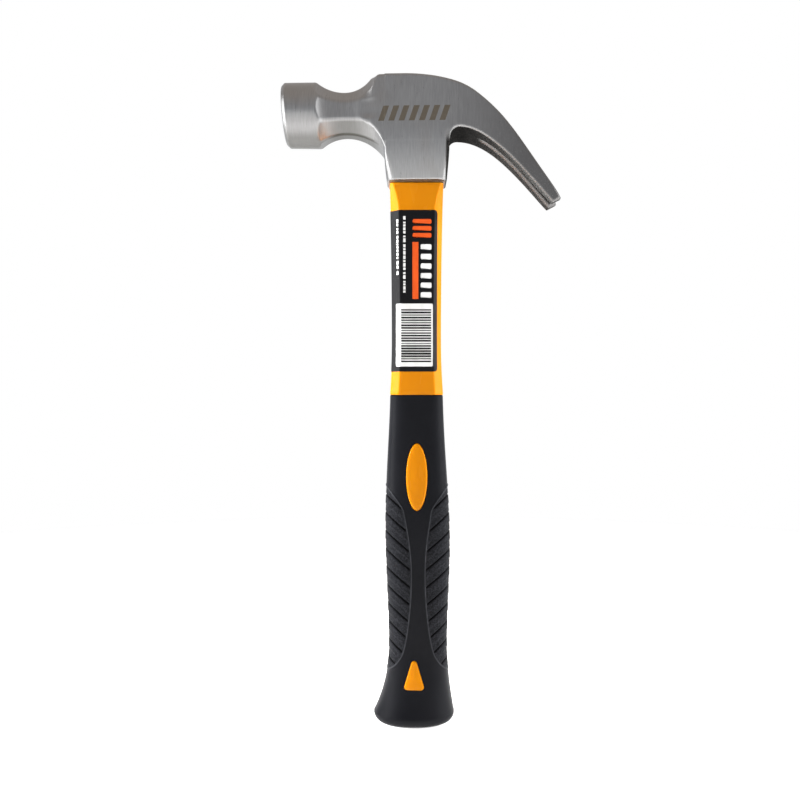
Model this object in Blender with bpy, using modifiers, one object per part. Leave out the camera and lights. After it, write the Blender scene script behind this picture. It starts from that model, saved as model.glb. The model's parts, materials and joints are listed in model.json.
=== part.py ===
"""Claw hammer with a forged head, a fibreglass core, a moulded jacket and a rubber grip.

Metres, +Z up the handle. The origin is the middle of the butt's flat end, the striking
face looks along -X, the claws along +X, and the cheeks along -Y and +Y.
"""

import math

import bmesh
import bpy
from mathutils import Matrix
from mathutils import Vector

MM = 0.001

# Gap left between two pieces that touch on the real hammer.
CLEARANCE = 0.3 * MM

# Handle heights, measured from the butt's flat end.
HANDLE_LENGTH = 258.2 * MM
GRIP_LENGTH = 156.4 * MM
BUTT_THICKNESS = 11.7 * MM

# Fibreglass core, a plain pultruded bar. Everything round it is sized by its wall.
CORE_HALF_WIDTH = 8.3 * MM
CORE_HALF_DEPTH = 5.6 * MM
CORE_CORNER = 2.2 * MM
CORE_RISE = 8.3 * MM
CORE_TOP_RECESS = 0.8 * MM
CORE_BOTTOM = BUTT_THICKNESS + CORE_RISE

# Eye: a hole through the head, wider at the top so that the cured epoxy locks in it.
EPOXY_SIDE_WALL = 2.3 * MM
EPOXY_FRONT_WALL = 2.4 * MM
EYE_TAPER = 1.4 * MM
EYE_CORNER = 4.0 * MM
EPOXY_RECESS = 1.2 * MM
EPOXY_BEAD_THICKNESS = 0.5 * MM
EPOXY_BEAD_OVERHANG = 0.5 * MM
EYE_HALF_WIDTH = CORE_HALF_WIDTH + EPOXY_SIDE_WALL
EYE_HALF_DEPTH = CORE_HALF_DEPTH + EPOXY_FRONT_WALL

# Skirt, the socket's lower end: its walls round the eye, and where it meets the block.
SKIRT_FACE_WALL = 3.5 * MM
SKIRT_CLAW_WALL = 3.6 * MM
SKIRT_CHEEK_WALL = 3.5 * MM
SKIRT_CORNER = 5.0 * MM
SKIRT_FLARE = 1.3 * MM
SKIRT_BLEND_HEIGHT = 17.5 * MM
BLOCK_FACE_WALL = EYE_HALF_WIDTH + SKIRT_FACE_WALL + SKIRT_FLARE
BLOCK_CLAW_WALL = EYE_HALF_WIDTH + SKIRT_CLAW_WALL + SKIRT_FLARE

# Head, measured from the skirt's flat bottom and from the handle's axis.
HEAD_HEIGHT = 49.3 * MM
POLL_AXIS_HEIGHT = 33.1 * MM
FACE_REACH = 64.0 * MM
FACE_RADIUS = 15.3 * MM
FACE_CHAMFER = 1.6 * MM
FACE_CROWN = 0.3 * MM
FACE_FLAT_RADIUS = 10.0 * MM
POLL_RADIUS = 15.6 * MM
FACE_LEAN = 0.075
WAIST_REACH = 34.0 * MM
WAIST_RADIUS = 11.05 * MM
WAIST_ARC_TO_FACE = 22.5 * MM
WAIST_ARC_TO_EYE = 19.3 * MM
NECK_SIDES = 8
CHEEK_WALL = 4.8 * MM
CHEEK_FLARE = 0.042
CHEEK_FACE_END = 31.0 * MM
CHEEK_CLAW_END = 19.0 * MM
CHEEK_HALF_WIDTH = EYE_HALF_DEPTH + EYE_TAPER + CHEEK_WALL

# Claws and the slot between them that takes a nail's head.
CLAW_REACH = 68.7 * MM
CLAW_TIP_DROP = 10.6 * MM
CLAW_HALF_WIDTH = 12.2 * MM
CLAW_END_HALF_WIDTH = 11.4 * MM
CLAW_TIP_HALF_WIDTH = 9.2 * MM
CLAW_DRAW_RUN = 19.0 * MM
CLAW_CHAMFER_REACH = 7.5 * MM
NAIL_SLOT_ROOT = 30.4 * MM
NAIL_SLOT_ROOT_RADIUS = 0.9 * MM
NAIL_SLOT_HALF_MOUTH = 4.6 * MM

# Jacket: walls round the core at its top, at its slimmest and where it meets the grip.
JACKET_TOP_WALL = 4.5 * MM
JACKET_WAIST_WALL = 3.4 * MM
JACKET_FOOT_WALL = 4.4 * MM
JACKET_FRONT_WALL = 3.8 * MM
JACKET_WAIST_RISE = 26.6 * MM
JACKET_BEVEL = 4.0 * MM
JACKET_BEVEL_AT_HEAD = 1.0 * MM
JACKET_BEVEL_RUN = 15.0 * MM
JACKET_TOP_HALF_WIDTH = CORE_HALF_WIDTH + JACKET_TOP_WALL
JACKET_WAIST_HALF_WIDTH = CORE_HALF_WIDTH + JACKET_WAIST_WALL
JACKET_FOOT_HALF_WIDTH = CORE_HALF_WIDTH + JACKET_FOOT_WALL
JACKET_HALF_DEPTH = CORE_HALF_DEPTH + JACKET_FRONT_WALL
JACKET_WAIST_HEIGHT = GRIP_LENGTH + JACKET_WAIST_RISE

# Spine: the slimmer part of the jacket that the grip is moulded over.
SPINE_SIDE_WALL = 2.0 * MM
SPINE_FRONT_WALL = 1.8 * MM
SPINE_BEVEL = 3.0 * MM
SPINE_HALF_WIDTH = CORE_HALF_WIDTH + SPINE_SIDE_WALL
SPINE_HALF_DEPTH = CORE_HALF_DEPTH + SPINE_FRONT_WALL

# Pads of the jacket that show through windows in the grip, front and back.
OVAL_PAD_DROP = 38.8 * MM
OVAL_PAD_HALF_LENGTH = 16.0 * MM
OVAL_PAD_HALF_WIDTH = 5.1 * MM
WEDGE_PAD_RISE = 5.7 * MM
WEDGE_PAD_LENGTH = 13.6 * MM
WEDGE_PAD_HALF_BASE = 4.7 * MM
WEDGE_PAD_CORNER = 1.4 * MM
WEDGE_PAD_OFFSET = -1.3 * MM
PAD_RISE = 0.3 * MM
OVAL_PAD_HEIGHT = GRIP_LENGTH - OVAL_PAD_DROP
WEDGE_PAD_BASE_HEIGHT = BUTT_THICKNESS + WEDGE_PAD_RISE

# Grip: its rubber wall over the spine at the palm, at the waist and at the butt.
GRIP_STEP = 0.2 * MM
GRIP_PALM_WALL = 5.2 * MM
GRIP_PALM_HEIGHT = 88.0 * MM
GRIP_WAIST_SIDE_WALL = 3.75 * MM
GRIP_WAIST_FRONT_WALL = 4.6 * MM
GRIP_WAIST_HEIGHT = 37.0 * MM
GRIP_BUTT_SIDE_WALL = 9.0 * MM
GRIP_BUTT_FRONT_WALL = 10.0 * MM
GRIP_EDGE_RADIUS = 4.4 * MM
GRIP_BUTT_FLARE = 0.34
GRIP_TOP_TAPER = 0.02
GRIP_HOOK = 1.2 * MM
GRIP_SWELL = 0.7 * MM

# Label: a thin wrap round the front of the jacket.
LABEL_GAP_TO_GRIP = 11.1 * MM
LABEL_GAP_TO_HEAD = 14.1 * MM
LABEL_THICKNESS = 0.3 * MM
LABEL_SIDE_MARGIN = 2.0 * MM
LABEL_BACK_EDGE = 1.0 * MM

COLLECTION_NAME = "claw_hammer"
SHAPER_COLLECTION_NAME = "shapers"


def clear_scene():
    for obj in list(bpy.data.objects):
        bpy.data.objects.remove(obj, do_unlink=True)


def make_collection(name):
    collection = bpy.data.collections.new(name)
    bpy.context.scene.collection.children.link(collection)
    return collection


def make_material(name, colour, roughness, metallic=0.0):
    material = bpy.data.materials.new(name)
    material.use_nodes = True
    shader = material.node_tree.nodes["Principled BSDF"]
    shader.inputs["Base Color"].default_value = (*colour, 1.0)
    shader.inputs["Roughness"].default_value = roughness
    shader.inputs["Metallic"].default_value = metallic
    material.diffuse_color = (*colour, 1.0)
    return material


def make_object(name, mesh, collection, material=None):
    obj = bpy.data.objects.new(name, mesh)
    collection.objects.link(obj)
    if material is not None:
        mesh.materials.append(material)
    return obj


def make_shaper(name, mesh):
    """A solid that only cuts or joins another one and is never seen."""
    obj = make_object(name, mesh, shapers)
    obj.hide_render = True
    obj.display_type = "WIRE"
    return obj


def shape_with(obj, operation, other):
    modifier = obj.modifiers.new(other.name, "BOOLEAN")
    modifier.operation = operation
    modifier.solver = "EXACT"
    modifier.object = other


def smooth_shading(obj, angle_degrees=35.0):
    obj.data.shade_smooth()
    obj.data.set_sharp_from_angle(angle=math.radians(angle_degrees))


def loft_mesh(name, rings):
    """Closed skin over rings that all have the same number of points."""
    mesh = bpy.data.meshes.new(name)
    shell = bmesh.new()
    rows = [[shell.verts.new(point) for point in ring] for ring in rings]
    count = len(rows[0])
    for lower, upper in zip(rows, rows[1:]):
        for index in range(count):
            following = (index + 1) % count
            shell.faces.new((lower[index], lower[following], upper[following], upper[index]))
    shell.faces.new(reversed(rows[0]))
    shell.faces.new(rows[-1])
    bmesh.ops.recalc_face_normals(shell, faces=shell.faces)
    shell.to_mesh(mesh)
    shell.free()
    return mesh


def outline_mesh(name, knots, half_thickness, resolution=8):
    """Flat Bezier outline given thickness. A knot is a point with its two handle offsets.

    An offset of zero is a straight run to the next knot.
    """
    curve = bpy.data.curves.new(name, "CURVE")
    curve.dimensions = "2D"
    curve.fill_mode = "BOTH"
    curve.extrude = half_thickness
    curve.resolution_u = resolution
    spline = curve.splines.new("BEZIER")
    spline.bezier_points.add(len(knots) - 1)
    for knot, (point, before, after) in zip(spline.bezier_points, knots):
        knot.co = (point[0], point[1], 0.0)
        knot.handle_left_type = "FREE" if any(before) else "VECTOR"
        knot.handle_right_type = "FREE" if any(after) else "VECTOR"
        knot.handle_left = (point[0] + before[0], point[1] + before[1], 0.0)
        knot.handle_right = (point[0] + after[0], point[1] + after[1], 0.0)
    spline.use_cyclic_u = True
    guide = bpy.data.objects.new(name, curve)
    shapers.objects.link(guide)
    bpy.context.view_layer.update()
    evaluated = guide.evaluated_get(bpy.context.evaluated_depsgraph_get())
    mesh = bpy.data.meshes.new_from_object(evaluated)
    mesh.name = name
    weld_mesh(mesh)
    bpy.data.objects.remove(guide, do_unlink=True)
    return mesh


def weld_mesh(mesh):
    shell = bmesh.new()
    shell.from_mesh(mesh)
    bmesh.ops.remove_doubles(shell, verts=shell.verts, dist=0.001 * MM)
    bmesh.ops.recalc_face_normals(shell, faces=shell.faces)
    shell.to_mesh(mesh)
    shell.free()


def turned_mesh(name, profile, steps, turn=0.0):
    """Profile of (radius, reach) points swept about the head's long axis with a Screw."""
    wire = bpy.data.meshes.new(name)
    points = [(radius, 0.0, reach) for radius, reach in profile]
    edges = [(index, index + 1) for index in range(len(points) - 1)]
    wire.from_pydata(points, edges, [])
    guide = bpy.data.objects.new(name, wire)
    shapers.objects.link(guide)
    screw = guide.modifiers.new("turn", "SCREW")
    screw.steps = steps
    screw.render_steps = steps
    screw.use_merge_vertices = True
    screw.merge_threshold = 0.01 * MM
    bpy.context.view_layer.update()
    evaluated = guide.evaluated_get(bpy.context.evaluated_depsgraph_get())
    mesh = bpy.data.meshes.new_from_object(evaluated)
    mesh.name = name
    bpy.data.objects.remove(guide, do_unlink=True)
    weld_mesh(mesh)
    towards_face = Matrix.Rotation(-math.pi / 2, 4, "Y") @ Matrix.Rotation(turn, 4, "Z")
    lean = Matrix.Identity(4)
    lean[0][2] = -FACE_LEAN
    mesh.transform(Matrix.Translation((0, 0, POLL_AXIS_HEIGHT)) @ lean @ towards_face)
    return mesh


def rounded_ring(left, right, left_depth, right_depth, corner, height, steps=5):
    """Rounded quadrilateral whose depth may change from its left side to its right side."""
    corners = (
        (right, right_depth, 0.0),
        (left, left_depth, 0.5 * math.pi),
        (left, -left_depth, math.pi),
        (right, -right_depth, 1.5 * math.pi),
    )
    ring = []
    for x, y, start in corners:
        centre_x = x - math.copysign(corner, math.cos(start + 0.25 * math.pi))
        centre_y = y - math.copysign(corner, y)
        for step in range(steps):
            angle = start + 0.5 * math.pi * step / (steps - 1)
            ring.append(
                (centre_x + corner * math.cos(angle), centre_y + corner * math.sin(angle), height)
            )
    return ring


def octagon_ring(half_width, half_depth, bevel, height, centre=0.0):
    """Eight-sided section: flat front, back and sides, with a bevel at each corner."""
    flat_width = half_width - bevel
    flat_depth = half_depth - bevel
    return [
        (centre + half_width, -flat_depth, height),
        (centre + half_width, flat_depth, height),
        (centre + flat_width, half_depth, height),
        (centre - flat_width, half_depth, height),
        (centre - half_width, flat_depth, height),
        (centre - half_width, -flat_depth, height),
        (centre - flat_width, -half_depth, height),
        (centre + flat_width, -half_depth, height),
    ]


def cheek_half_width(x):
    return CHEEK_HALF_WIDTH + CHEEK_FLARE * x


# ---- Head: one steel forging -------------------------------------------------------


def body_mesh():
    """Eye block and claws seen from the side, as thick as the widest cheek."""
    top = HEAD_HEIGHT + 0.3 * MM
    tip = CLAW_REACH
    drop = -CLAW_TIP_DROP
    none = (0.0, 0.0)
    block_bottom = SKIRT_BLEND_HEIGHT - 0.1 * MM
    knots = (
        ((-BLOCK_FACE_WALL, top), none, none),
        ((-6.0 * MM, top), none, (10.0 * MM, 0.0)),
        ((28.6 * MM, top - 8.8 * MM), (-9.6 * MM, 6.8 * MM), (14.7 * MM, -10.3 * MM)),
        ((tip - 0.6 * MM, drop + 3.3 * MM), (-21.1 * MM, 29.2 * MM), none),
        ((tip, drop + 2.0 * MM), none, none),
        ((tip - 4.3 * MM, drop), none, (-10.7 * MM, 11.5 * MM)),
        ((20.3 * MM, 24.2 * MM), (16.0 * MM, 0.0), (-2.6 * MM, 0.0)),
        ((BLOCK_CLAW_WALL, SKIRT_BLEND_HEIGHT + 0.5 * MM), (0.1 * MM, 4.5 * MM), none),
        ((BLOCK_CLAW_WALL, block_bottom), none, none),
        ((-BLOCK_FACE_WALL, block_bottom), none, none),
    )
    mesh = outline_mesh("head_side_outline", knots, CHEEK_HALF_WIDTH + 6.0 * MM)
    mesh.transform(Matrix.Rotation(math.pi / 2, 4, "X"))
    return mesh


def plan_mesh():
    """Cheeks and claws seen from above: flared cheeks, then claws that draw in."""
    none = (0.0, 0.0)
    past_face = FACE_REACH + 10.0 * MM
    past_poll = 20.0 * MM
    tip = CLAW_REACH + 0.5 * MM
    end = CLAW_CHAMFER_REACH
    side = (
        ((-past_face, past_poll), none, none),
        ((-CHEEK_FACE_END - 5.0 * MM, past_poll), none, none),
        ((-CHEEK_FACE_END, cheek_half_width(-CHEEK_FACE_END)), none, none),
        (
            (CHEEK_CLAW_END, cheek_half_width(CHEEK_CLAW_END)),
            none,
            (5.0 * MM, 5.0 * MM * CHEEK_FLARE),
        ),
        (
            (CHEEK_CLAW_END + CLAW_DRAW_RUN, CLAW_HALF_WIDTH),
            (-6.0 * MM, 0.6 * MM),
            (6.0 * MM, -0.4 * MM),
        ),
        ((tip - end, CLAW_END_HALF_WIDTH), (-8.0 * MM, 0.1 * MM), (4.0 * MM, -0.1 * MM)),
        ((tip, CLAW_TIP_HALF_WIDTH), (-1.5 * MM, 1.4 * MM), none),
    )
    other_side = [
        ((x, -y), (after[0], -after[1]), (before[0], -before[1]))
        for (x, y), before, after in reversed(side)
    ]
    top = HEAD_HEIGHT
    bottom = -CLAW_TIP_DROP - 5.0 * MM
    mesh = outline_mesh("head_plan_outline", [*side, *other_side], 0.5 * (top - bottom))
    mesh.transform(Matrix.Translation((0.0, 0.0, 0.5 * (top + bottom))))
    return mesh


def neck_profile():
    """Arc-waisted profile from beyond the face to inside the eye block."""
    face_end = FACE_REACH + 6.0 * MM
    inside_block = BLOCK_FACE_WALL - 0.1 * MM
    steps = 9
    to_face = math.radians(46.0)
    to_eye = math.asin(min(1.0, (WAIST_REACH - inside_block) / WAIST_ARC_TO_EYE))
    arcs = (
        (WAIST_ARC_TO_FACE, [to_face * (steps - step) / steps for step in range(steps)]),
        (WAIST_ARC_TO_EYE, [-to_eye * step / steps for step in range(steps + 1)]),
    )
    profile = []
    for arc_radius, angles in arcs:
        for angle in angles:
            radius = WAIST_RADIUS + arc_radius * (1.0 - math.cos(angle))
            profile.append((radius, WAIST_REACH + arc_radius * math.sin(angle)))
    widest = profile[0][0]
    flared = profile[-1][0]
    start = [(0.0, face_end), (widest, face_end)]
    eye_end = inside_block - 1.8 * MM
    end = [(flared, eye_end), (0.0, eye_end)]
    return start + profile + end


def poll_profile():
    """Face, chamfer and barrel of the poll, opening wide behind the neck's waist."""
    wide = 40.0 * MM
    crown_edge = FACE_RADIUS - FACE_CHAMFER
    return [
        (0.0, FACE_REACH),
        (FACE_FLAT_RADIUS, FACE_REACH),
        (0.5 * (FACE_FLAT_RADIUS + crown_edge), FACE_REACH - 0.3 * FACE_CROWN),
        (crown_edge, FACE_REACH - FACE_CROWN),
        (FACE_RADIUS - 0.3 * FACE_CHAMFER, FACE_REACH - FACE_CROWN - 0.4 * FACE_CHAMFER),
        (FACE_RADIUS, FACE_REACH - FACE_CROWN - FACE_CHAMFER),
        (POLL_RADIUS, WAIST_REACH + 6.0 * MM),
        (wide, WAIST_REACH + 5.0 * MM),
        (wide, 5.0 * MM),
        (0.0, 5.0 * MM),
    ]


def skirt_mesh():
    """Socket below the eye block: narrow and well rounded at the bottom.

    Each ring is a height, how far its two ends and its two cheek edges stand out from
    the bottom ring, and the radius of its corners.
    """
    inset = 0.05 * MM
    left = EYE_HALF_WIDTH + SKIRT_FACE_WALL
    right = EYE_HALF_WIDTH + SKIRT_CLAW_WALL
    depth = EYE_HALF_DEPTH + SKIRT_CHEEK_WALL
    left_cheek = cheek_half_width(-15.0 * MM) - inset - depth
    right_cheek = cheek_half_width(15.0 * MM) - inset - depth
    blend = SKIRT_BLEND_HEIGHT
    rings = (
        (0.0, 0.0, 0.0, -0.1 * MM, 0.1 * MM, SKIRT_CORNER),
        (4.0 * MM, 0.7 * MM, 0.3 * MM, 0.3 * MM, 0.6 * MM, 4.6 * MM),
        (9.0 * MM, 1.2 * MM, 0.7 * MM, 0.9 * MM, 1.4 * MM, 3.8 * MM),
        (blend - 3.5 * MM, 1.4 * MM, 1.1 * MM, left_cheek - 0.3 * MM, right_cheek - 0.4 * MM, 2.4 * MM),
        (blend - 0.3 * MM, 1.4 * MM, 1.2 * MM, left_cheek, right_cheek, 1.6 * MM),
        (blend + 5.0 * MM, 1.2 * MM, 0.9 * MM, left_cheek, right_cheek, 1.6 * MM),
    )
    return loft_mesh(
        "head_skirt",
        [
            rounded_ring(
                -left - left_out, right + right_out, depth + left_deep, depth + right_deep, corner, height
            )
            for height, left_out, right_out, left_deep, right_deep, corner in rings
        ],
    )


def eye_rings(gap, bottom, top, steps=5):
    """Rings of the tapered eye, drawn in by a gap, between two heights over the skirt."""
    rings = []
    for height in (bottom, top):
        share = height / HEAD_HEIGHT
        half_width = EYE_HALF_WIDTH + EYE_TAPER * share - gap
        half_depth = EYE_HALF_DEPTH + EYE_TAPER * share - gap
        corner = EYE_CORNER - gap
        rings.append(
            rounded_ring(-half_width, half_width, half_depth, half_depth, corner, height, steps)
        )
    return rings


def nail_slot_mesh():
    """V between the claws, with a rounded root."""
    none = (0.0, 0.0)
    round_handle = 0.55 * NAIL_SLOT_ROOT_RADIUS
    root = NAIL_SLOT_ROOT
    shoulder = root + 0.8 * NAIL_SLOT_ROOT_RADIUS
    mouth = CLAW_REACH + 4.0 * MM
    radius = NAIL_SLOT_ROOT_RADIUS
    knots = (
        ((root, 0.0), (0.0, round_handle), (0.0, -round_handle)),
        ((shoulder, -radius), (-round_handle, 0.1 * radius), none),
        ((mouth, -NAIL_SLOT_HALF_MOUTH), none, none),
        ((mouth, NAIL_SLOT_HALF_MOUTH), none, none),
        ((shoulder, radius), none, (-round_handle, -0.1 * radius)),
    )
    return outline_mesh("nail_slot", knots, HEAD_HEIGHT + CLAW_TIP_DROP, 3)


def build_head():
    head = make_object("hammer_head", body_mesh(), parts, steel)
    neck_turn = math.pi / NECK_SIDES
    neck = make_shaper("neck_form", turned_mesh("neck_form", neck_profile(), NECK_SIDES, neck_turn))
    poll = make_shaper("poll_form", turned_mesh("poll_form", poll_profile(), 48))
    plan = make_shaper("plan_form", plan_mesh())
    skirt = make_shaper("skirt_form", skirt_mesh())
    slot = make_shaper("nail_slot_form", nail_slot_mesh())
    past = 2.0 * MM
    eye = make_shaper("eye_form", loft_mesh("eye_form", eye_rings(0.0, -past, HEAD_HEIGHT + past)))
    for piece in (head, neck, poll, plan, skirt, slot, eye):
        piece.location.z = HANDLE_LENGTH
        piece.parent = frame
    shape_with(neck, "INTERSECT", poll)
    shape_with(head, "UNION", neck)
    shape_with(head, "INTERSECT", plan)
    shape_with(head, "UNION", skirt)
    shape_with(head, "DIFFERENCE", eye)
    shape_with(head, "DIFFERENCE", slot)
    smooth_shading(head)


# ---- Core and epoxy ----------------------------------------------------------------


def core_mesh(name, gap, bottom, top):
    width = CORE_HALF_WIDTH + gap
    depth = CORE_HALF_DEPTH + gap
    corner = CORE_CORNER + gap
    rings = [rounded_ring(-width, width, depth, depth, corner, z, 4) for z in (bottom, top)]
    return loft_mesh(name, rings)


def build_core():
    core_top = HANDLE_LENGTH + HEAD_HEIGHT - CORE_TOP_RECESS
    core = make_object("fibreglass_core", core_mesh("core", 0.0, CORE_BOTTOM, core_top), parts, glass)
    core.parent = frame
    smooth_shading(core)
    bore_bottom = CORE_BOTTOM - CLEARANCE
    bore_top = HANDLE_LENGTH + HEAD_HEIGHT + 5.0 * MM
    bore = make_shaper("core_bore", core_mesh("core_bore", CLEARANCE, bore_bottom, bore_top))
    bore.parent = frame
    return bore


def build_epoxy(core_bore):
    """Cured resin that fills the eye, with the bead squeezed out under the skirt."""
    bead_top = -CLEARANCE
    bead_bottom = bead_top - EPOXY_BEAD_THICKNESS
    bead_width = JACKET_TOP_HALF_WIDTH + EPOXY_BEAD_OVERHANG
    bead_depth = JACKET_HALF_DEPTH + EPOXY_BEAD_OVERHANG
    bead = [
        rounded_ring(-bead_width, bead_width, bead_depth, bead_depth, EYE_CORNER, height)
        for height in (bead_bottom, bead_top)
    ]
    fill = eye_rings(CLEARANCE, bead_top, HEAD_HEIGHT - EPOXY_RECESS)
    epoxy = make_object("epoxy_fill", loft_mesh("epoxy_fill", [*bead, *fill]), parts, resin)
    epoxy.location.z = HANDLE_LENGTH
    epoxy.parent = frame
    shape_with(epoxy, "DIFFERENCE", core_bore)
    smooth_shading(epoxy)


# ---- Jacket with its pads ----------------------------------------------------------


def jacket_half_width(height):
    """Slim between the grip and the head, easing wider towards both."""
    waist = JACKET_WAIST_HEIGHT
    if height > waist:
        share = (height - waist) / (HANDLE_LENGTH - waist)
        wider = JACKET_TOP_HALF_WIDTH - JACKET_WAIST_HALF_WIDTH
    else:
        share = (waist - height) / (waist - GRIP_LENGTH)
        wider = JACKET_FOOT_HALF_WIDTH - JACKET_WAIST_HALF_WIDTH
    return JACKET_WAIST_HALF_WIDTH + wider * share * share


def jacket_bevel(height):
    """Full along the handle, fading out over the last stretch below the head."""
    share = min(1.0, max(0.0, (HANDLE_LENGTH - height) / JACKET_BEVEL_RUN))
    gained = JACKET_BEVEL - JACKET_BEVEL_AT_HEAD
    return JACKET_BEVEL_AT_HEAD + gained * math.sin(0.5 * math.pi * share)


def jacket_top():
    return HANDLE_LENGTH - 2.0 * CLEARANCE - EPOXY_BEAD_THICKNESS


def spine_ring(gap, height):
    """Jacket section that the grip covers, grown by a gap."""
    return octagon_ring(SPINE_HALF_WIDTH + gap, SPINE_HALF_DEPTH + gap, SPINE_BEVEL, height)


def jacket_mesh():
    shoulder = GRIP_LENGTH + CLEARANCE
    top = jacket_top()
    bevel_start = HANDLE_LENGTH - JACKET_BEVEL_RUN
    rings = [spine_ring(0.0, BUTT_THICKNESS + CLEARANCE), spine_ring(0.0, shoulder)]
    lower_steps = 9
    upper_steps = 5
    lower = [shoulder + (bevel_start - shoulder) * step / lower_steps for step in range(lower_steps)]
    upper = [bevel_start + (top - bevel_start) * step / upper_steps for step in range(upper_steps + 1)]
    for height in lower + upper:
        width = jacket_half_width(height)
        rings.append(octagon_ring(width, JACKET_HALF_DEPTH, jacket_bevel(height), height))
    return loft_mesh("handle_jacket", rings)


def through_prism(name, outline, half_length):
    """Flat outline in (sideways, up) swept right through the handle from front to back."""
    near = [(x, -half_length, z) for x, z in outline]
    far = [(x, half_length, z) for x, z in outline]
    return loft_mesh(name, [near, far])


def oval_outline(gap, count=32):
    half_width = OVAL_PAD_HALF_WIDTH + gap
    half_length = OVAL_PAD_HALF_LENGTH + gap
    turns = [2.0 * math.pi * index / count for index in range(count)]
    return [
        (half_width * math.cos(turn), OVAL_PAD_HEIGHT + half_length * math.sin(turn))
        for turn in turns
    ]


def wedge_outline(gap, steps=4):
    """Tall triangle with rounded corners, grown by a gap."""
    corner_radius = WEDGE_PAD_CORNER
    centres = (
        (WEDGE_PAD_HALF_BASE - corner_radius, corner_radius, -90.0, 16.0),
        (0.0, WEDGE_PAD_LENGTH - corner_radius, 16.0, 164.0),
        (corner_radius - WEDGE_PAD_HALF_BASE, corner_radius, 164.0, 270.0),
    )
    reach = corner_radius + gap
    outline = []
    for x, z, start, end in centres:
        for step in range(steps + 1):
            angle = math.radians(start + (end - start) * step / steps)
            across = WEDGE_PAD_OFFSET + x + reach * math.cos(angle)
            outline.append((across, WEDGE_PAD_BASE_HEIGHT + z + reach * math.sin(angle)))
    return outline


def build_jacket(core_bore):
    jacket = make_object("handle_jacket", jacket_mesh(), parts, plastic)
    jacket.parent = frame
    beyond = 2.0 * (SPINE_HALF_DEPTH + GRIP_BUTT_FRONT_WALL)
    outlines = (("oval_pad", oval_outline(0.0)), ("wedge_pad", wedge_outline(0.0)))
    for name, outline in outlines:
        pad = make_shaper(name + "_form", through_prism(name, outline, beyond))
        skin = make_shaper(name + "_skin", loft_mesh(name + "_skin", grip_rings(PAD_RISE)))
        pad.parent = frame
        skin.parent = frame
        shape_with(pad, "INTERSECT", skin)
        shape_with(jacket, "UNION", pad)
    shape_with(jacket, "DIFFERENCE", core_bore)
    smooth_shading(jacket, 25.0)


# ---- Grip --------------------------------------------------------------------------


def along(stations, height):
    """Smooth value at a height, through (height, value, slope) stations."""
    if height <= stations[0][0]:
        return stations[0][1]
    for (low, low_value, low_slope), (high, high_value, high_slope) in zip(stations, stations[1:]):
        if height <= high:
            run = high - low
            share = (height - low) / run
            rest = 1.0 - share
            from_low = rest * rest * (low_value * (1.0 + 2.0 * share) + low_slope * run * share)
            from_high = share * share * (high_value * (1.0 + 2.0 * rest) - high_slope * run * rest)
            return from_low + from_high
    return stations[-1][1]


def grip_section(height):
    """Half width, half depth, sideways centre and squareness of the grip at a height.

    Each station is a height, the value there and its slope.
    """
    butt = GRIP_EDGE_RADIUS
    waist = GRIP_WAIST_HEIGHT
    palm = GRIP_PALM_HEIGHT
    top = GRIP_LENGTH
    width = (
        (butt, SPINE_HALF_WIDTH + GRIP_BUTT_SIDE_WALL, -GRIP_BUTT_FLARE),
        (waist, SPINE_HALF_WIDTH + GRIP_WAIST_SIDE_WALL, 0.0),
        (palm, SPINE_HALF_WIDTH + GRIP_PALM_WALL, 0.0),
        (top, JACKET_FOOT_HALF_WIDTH, -GRIP_TOP_TAPER),
    )
    depth = (
        (butt, SPINE_HALF_DEPTH + GRIP_BUTT_FRONT_WALL, -GRIP_BUTT_FLARE),
        (waist, SPINE_HALF_DEPTH + GRIP_WAIST_FRONT_WALL, 0.0),
        (palm, SPINE_HALF_DEPTH + GRIP_PALM_WALL, 0.0),
        (top, JACKET_HALF_DEPTH + GRIP_STEP, -GRIP_TOP_TAPER),
    )
    centre = (
        (butt, -GRIP_HOOK, 0.16),
        (waist, GRIP_SWELL, 0.0),
        (palm - 20.0 * MM, GRIP_SWELL, 0.0),
        (top - 20.0 * MM, 0.0, 0.0),
    )
    squareness = ((butt, 2.2, 0.0), (waist, 2.7, 0.0), (top, 3.4, 0.0))
    return [along(stations, height) for stations in (width, depth, centre, squareness)]


def grip_ring(height, inset, count=32):
    width, depth, centre, squareness = grip_section(height)
    power = 2.0 / squareness
    ring = []
    for index in range(count):
        angle = 2.0 * math.pi * (index + 0.5) / count
        across = math.copysign(abs(math.cos(angle)) ** power, math.cos(angle))
        deep = math.copysign(abs(math.sin(angle)) ** power, math.sin(angle))
        ring.append((centre + (width - inset) * across, (depth - inset) * deep, height))
    return ring


def grip_rings(growth):
    """Outer form of the grip, with its rounded bottom edge, grown by a distance."""
    radius = GRIP_EDGE_RADIUS
    edge_steps = 4
    rings = []
    for step in range(edge_steps):
        angle = 0.5 * math.pi * step / edge_steps
        height = radius * (1.0 - math.cos(angle))
        rings.append(grip_ring(height, radius * (1.0 - math.sin(angle)) - growth))
    flare_top = GRIP_WAIST_HEIGHT
    flare_steps = 5
    upper_steps = 12
    for step in range(flare_steps):
        height = radius + (flare_top - radius) * step / flare_steps
        rings.append(grip_ring(height, -growth))
    for step in range(upper_steps + 1):
        height = flare_top + (GRIP_LENGTH - flare_top) * step / upper_steps
        rings.append(grip_ring(height, -growth))
    return rings


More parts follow.
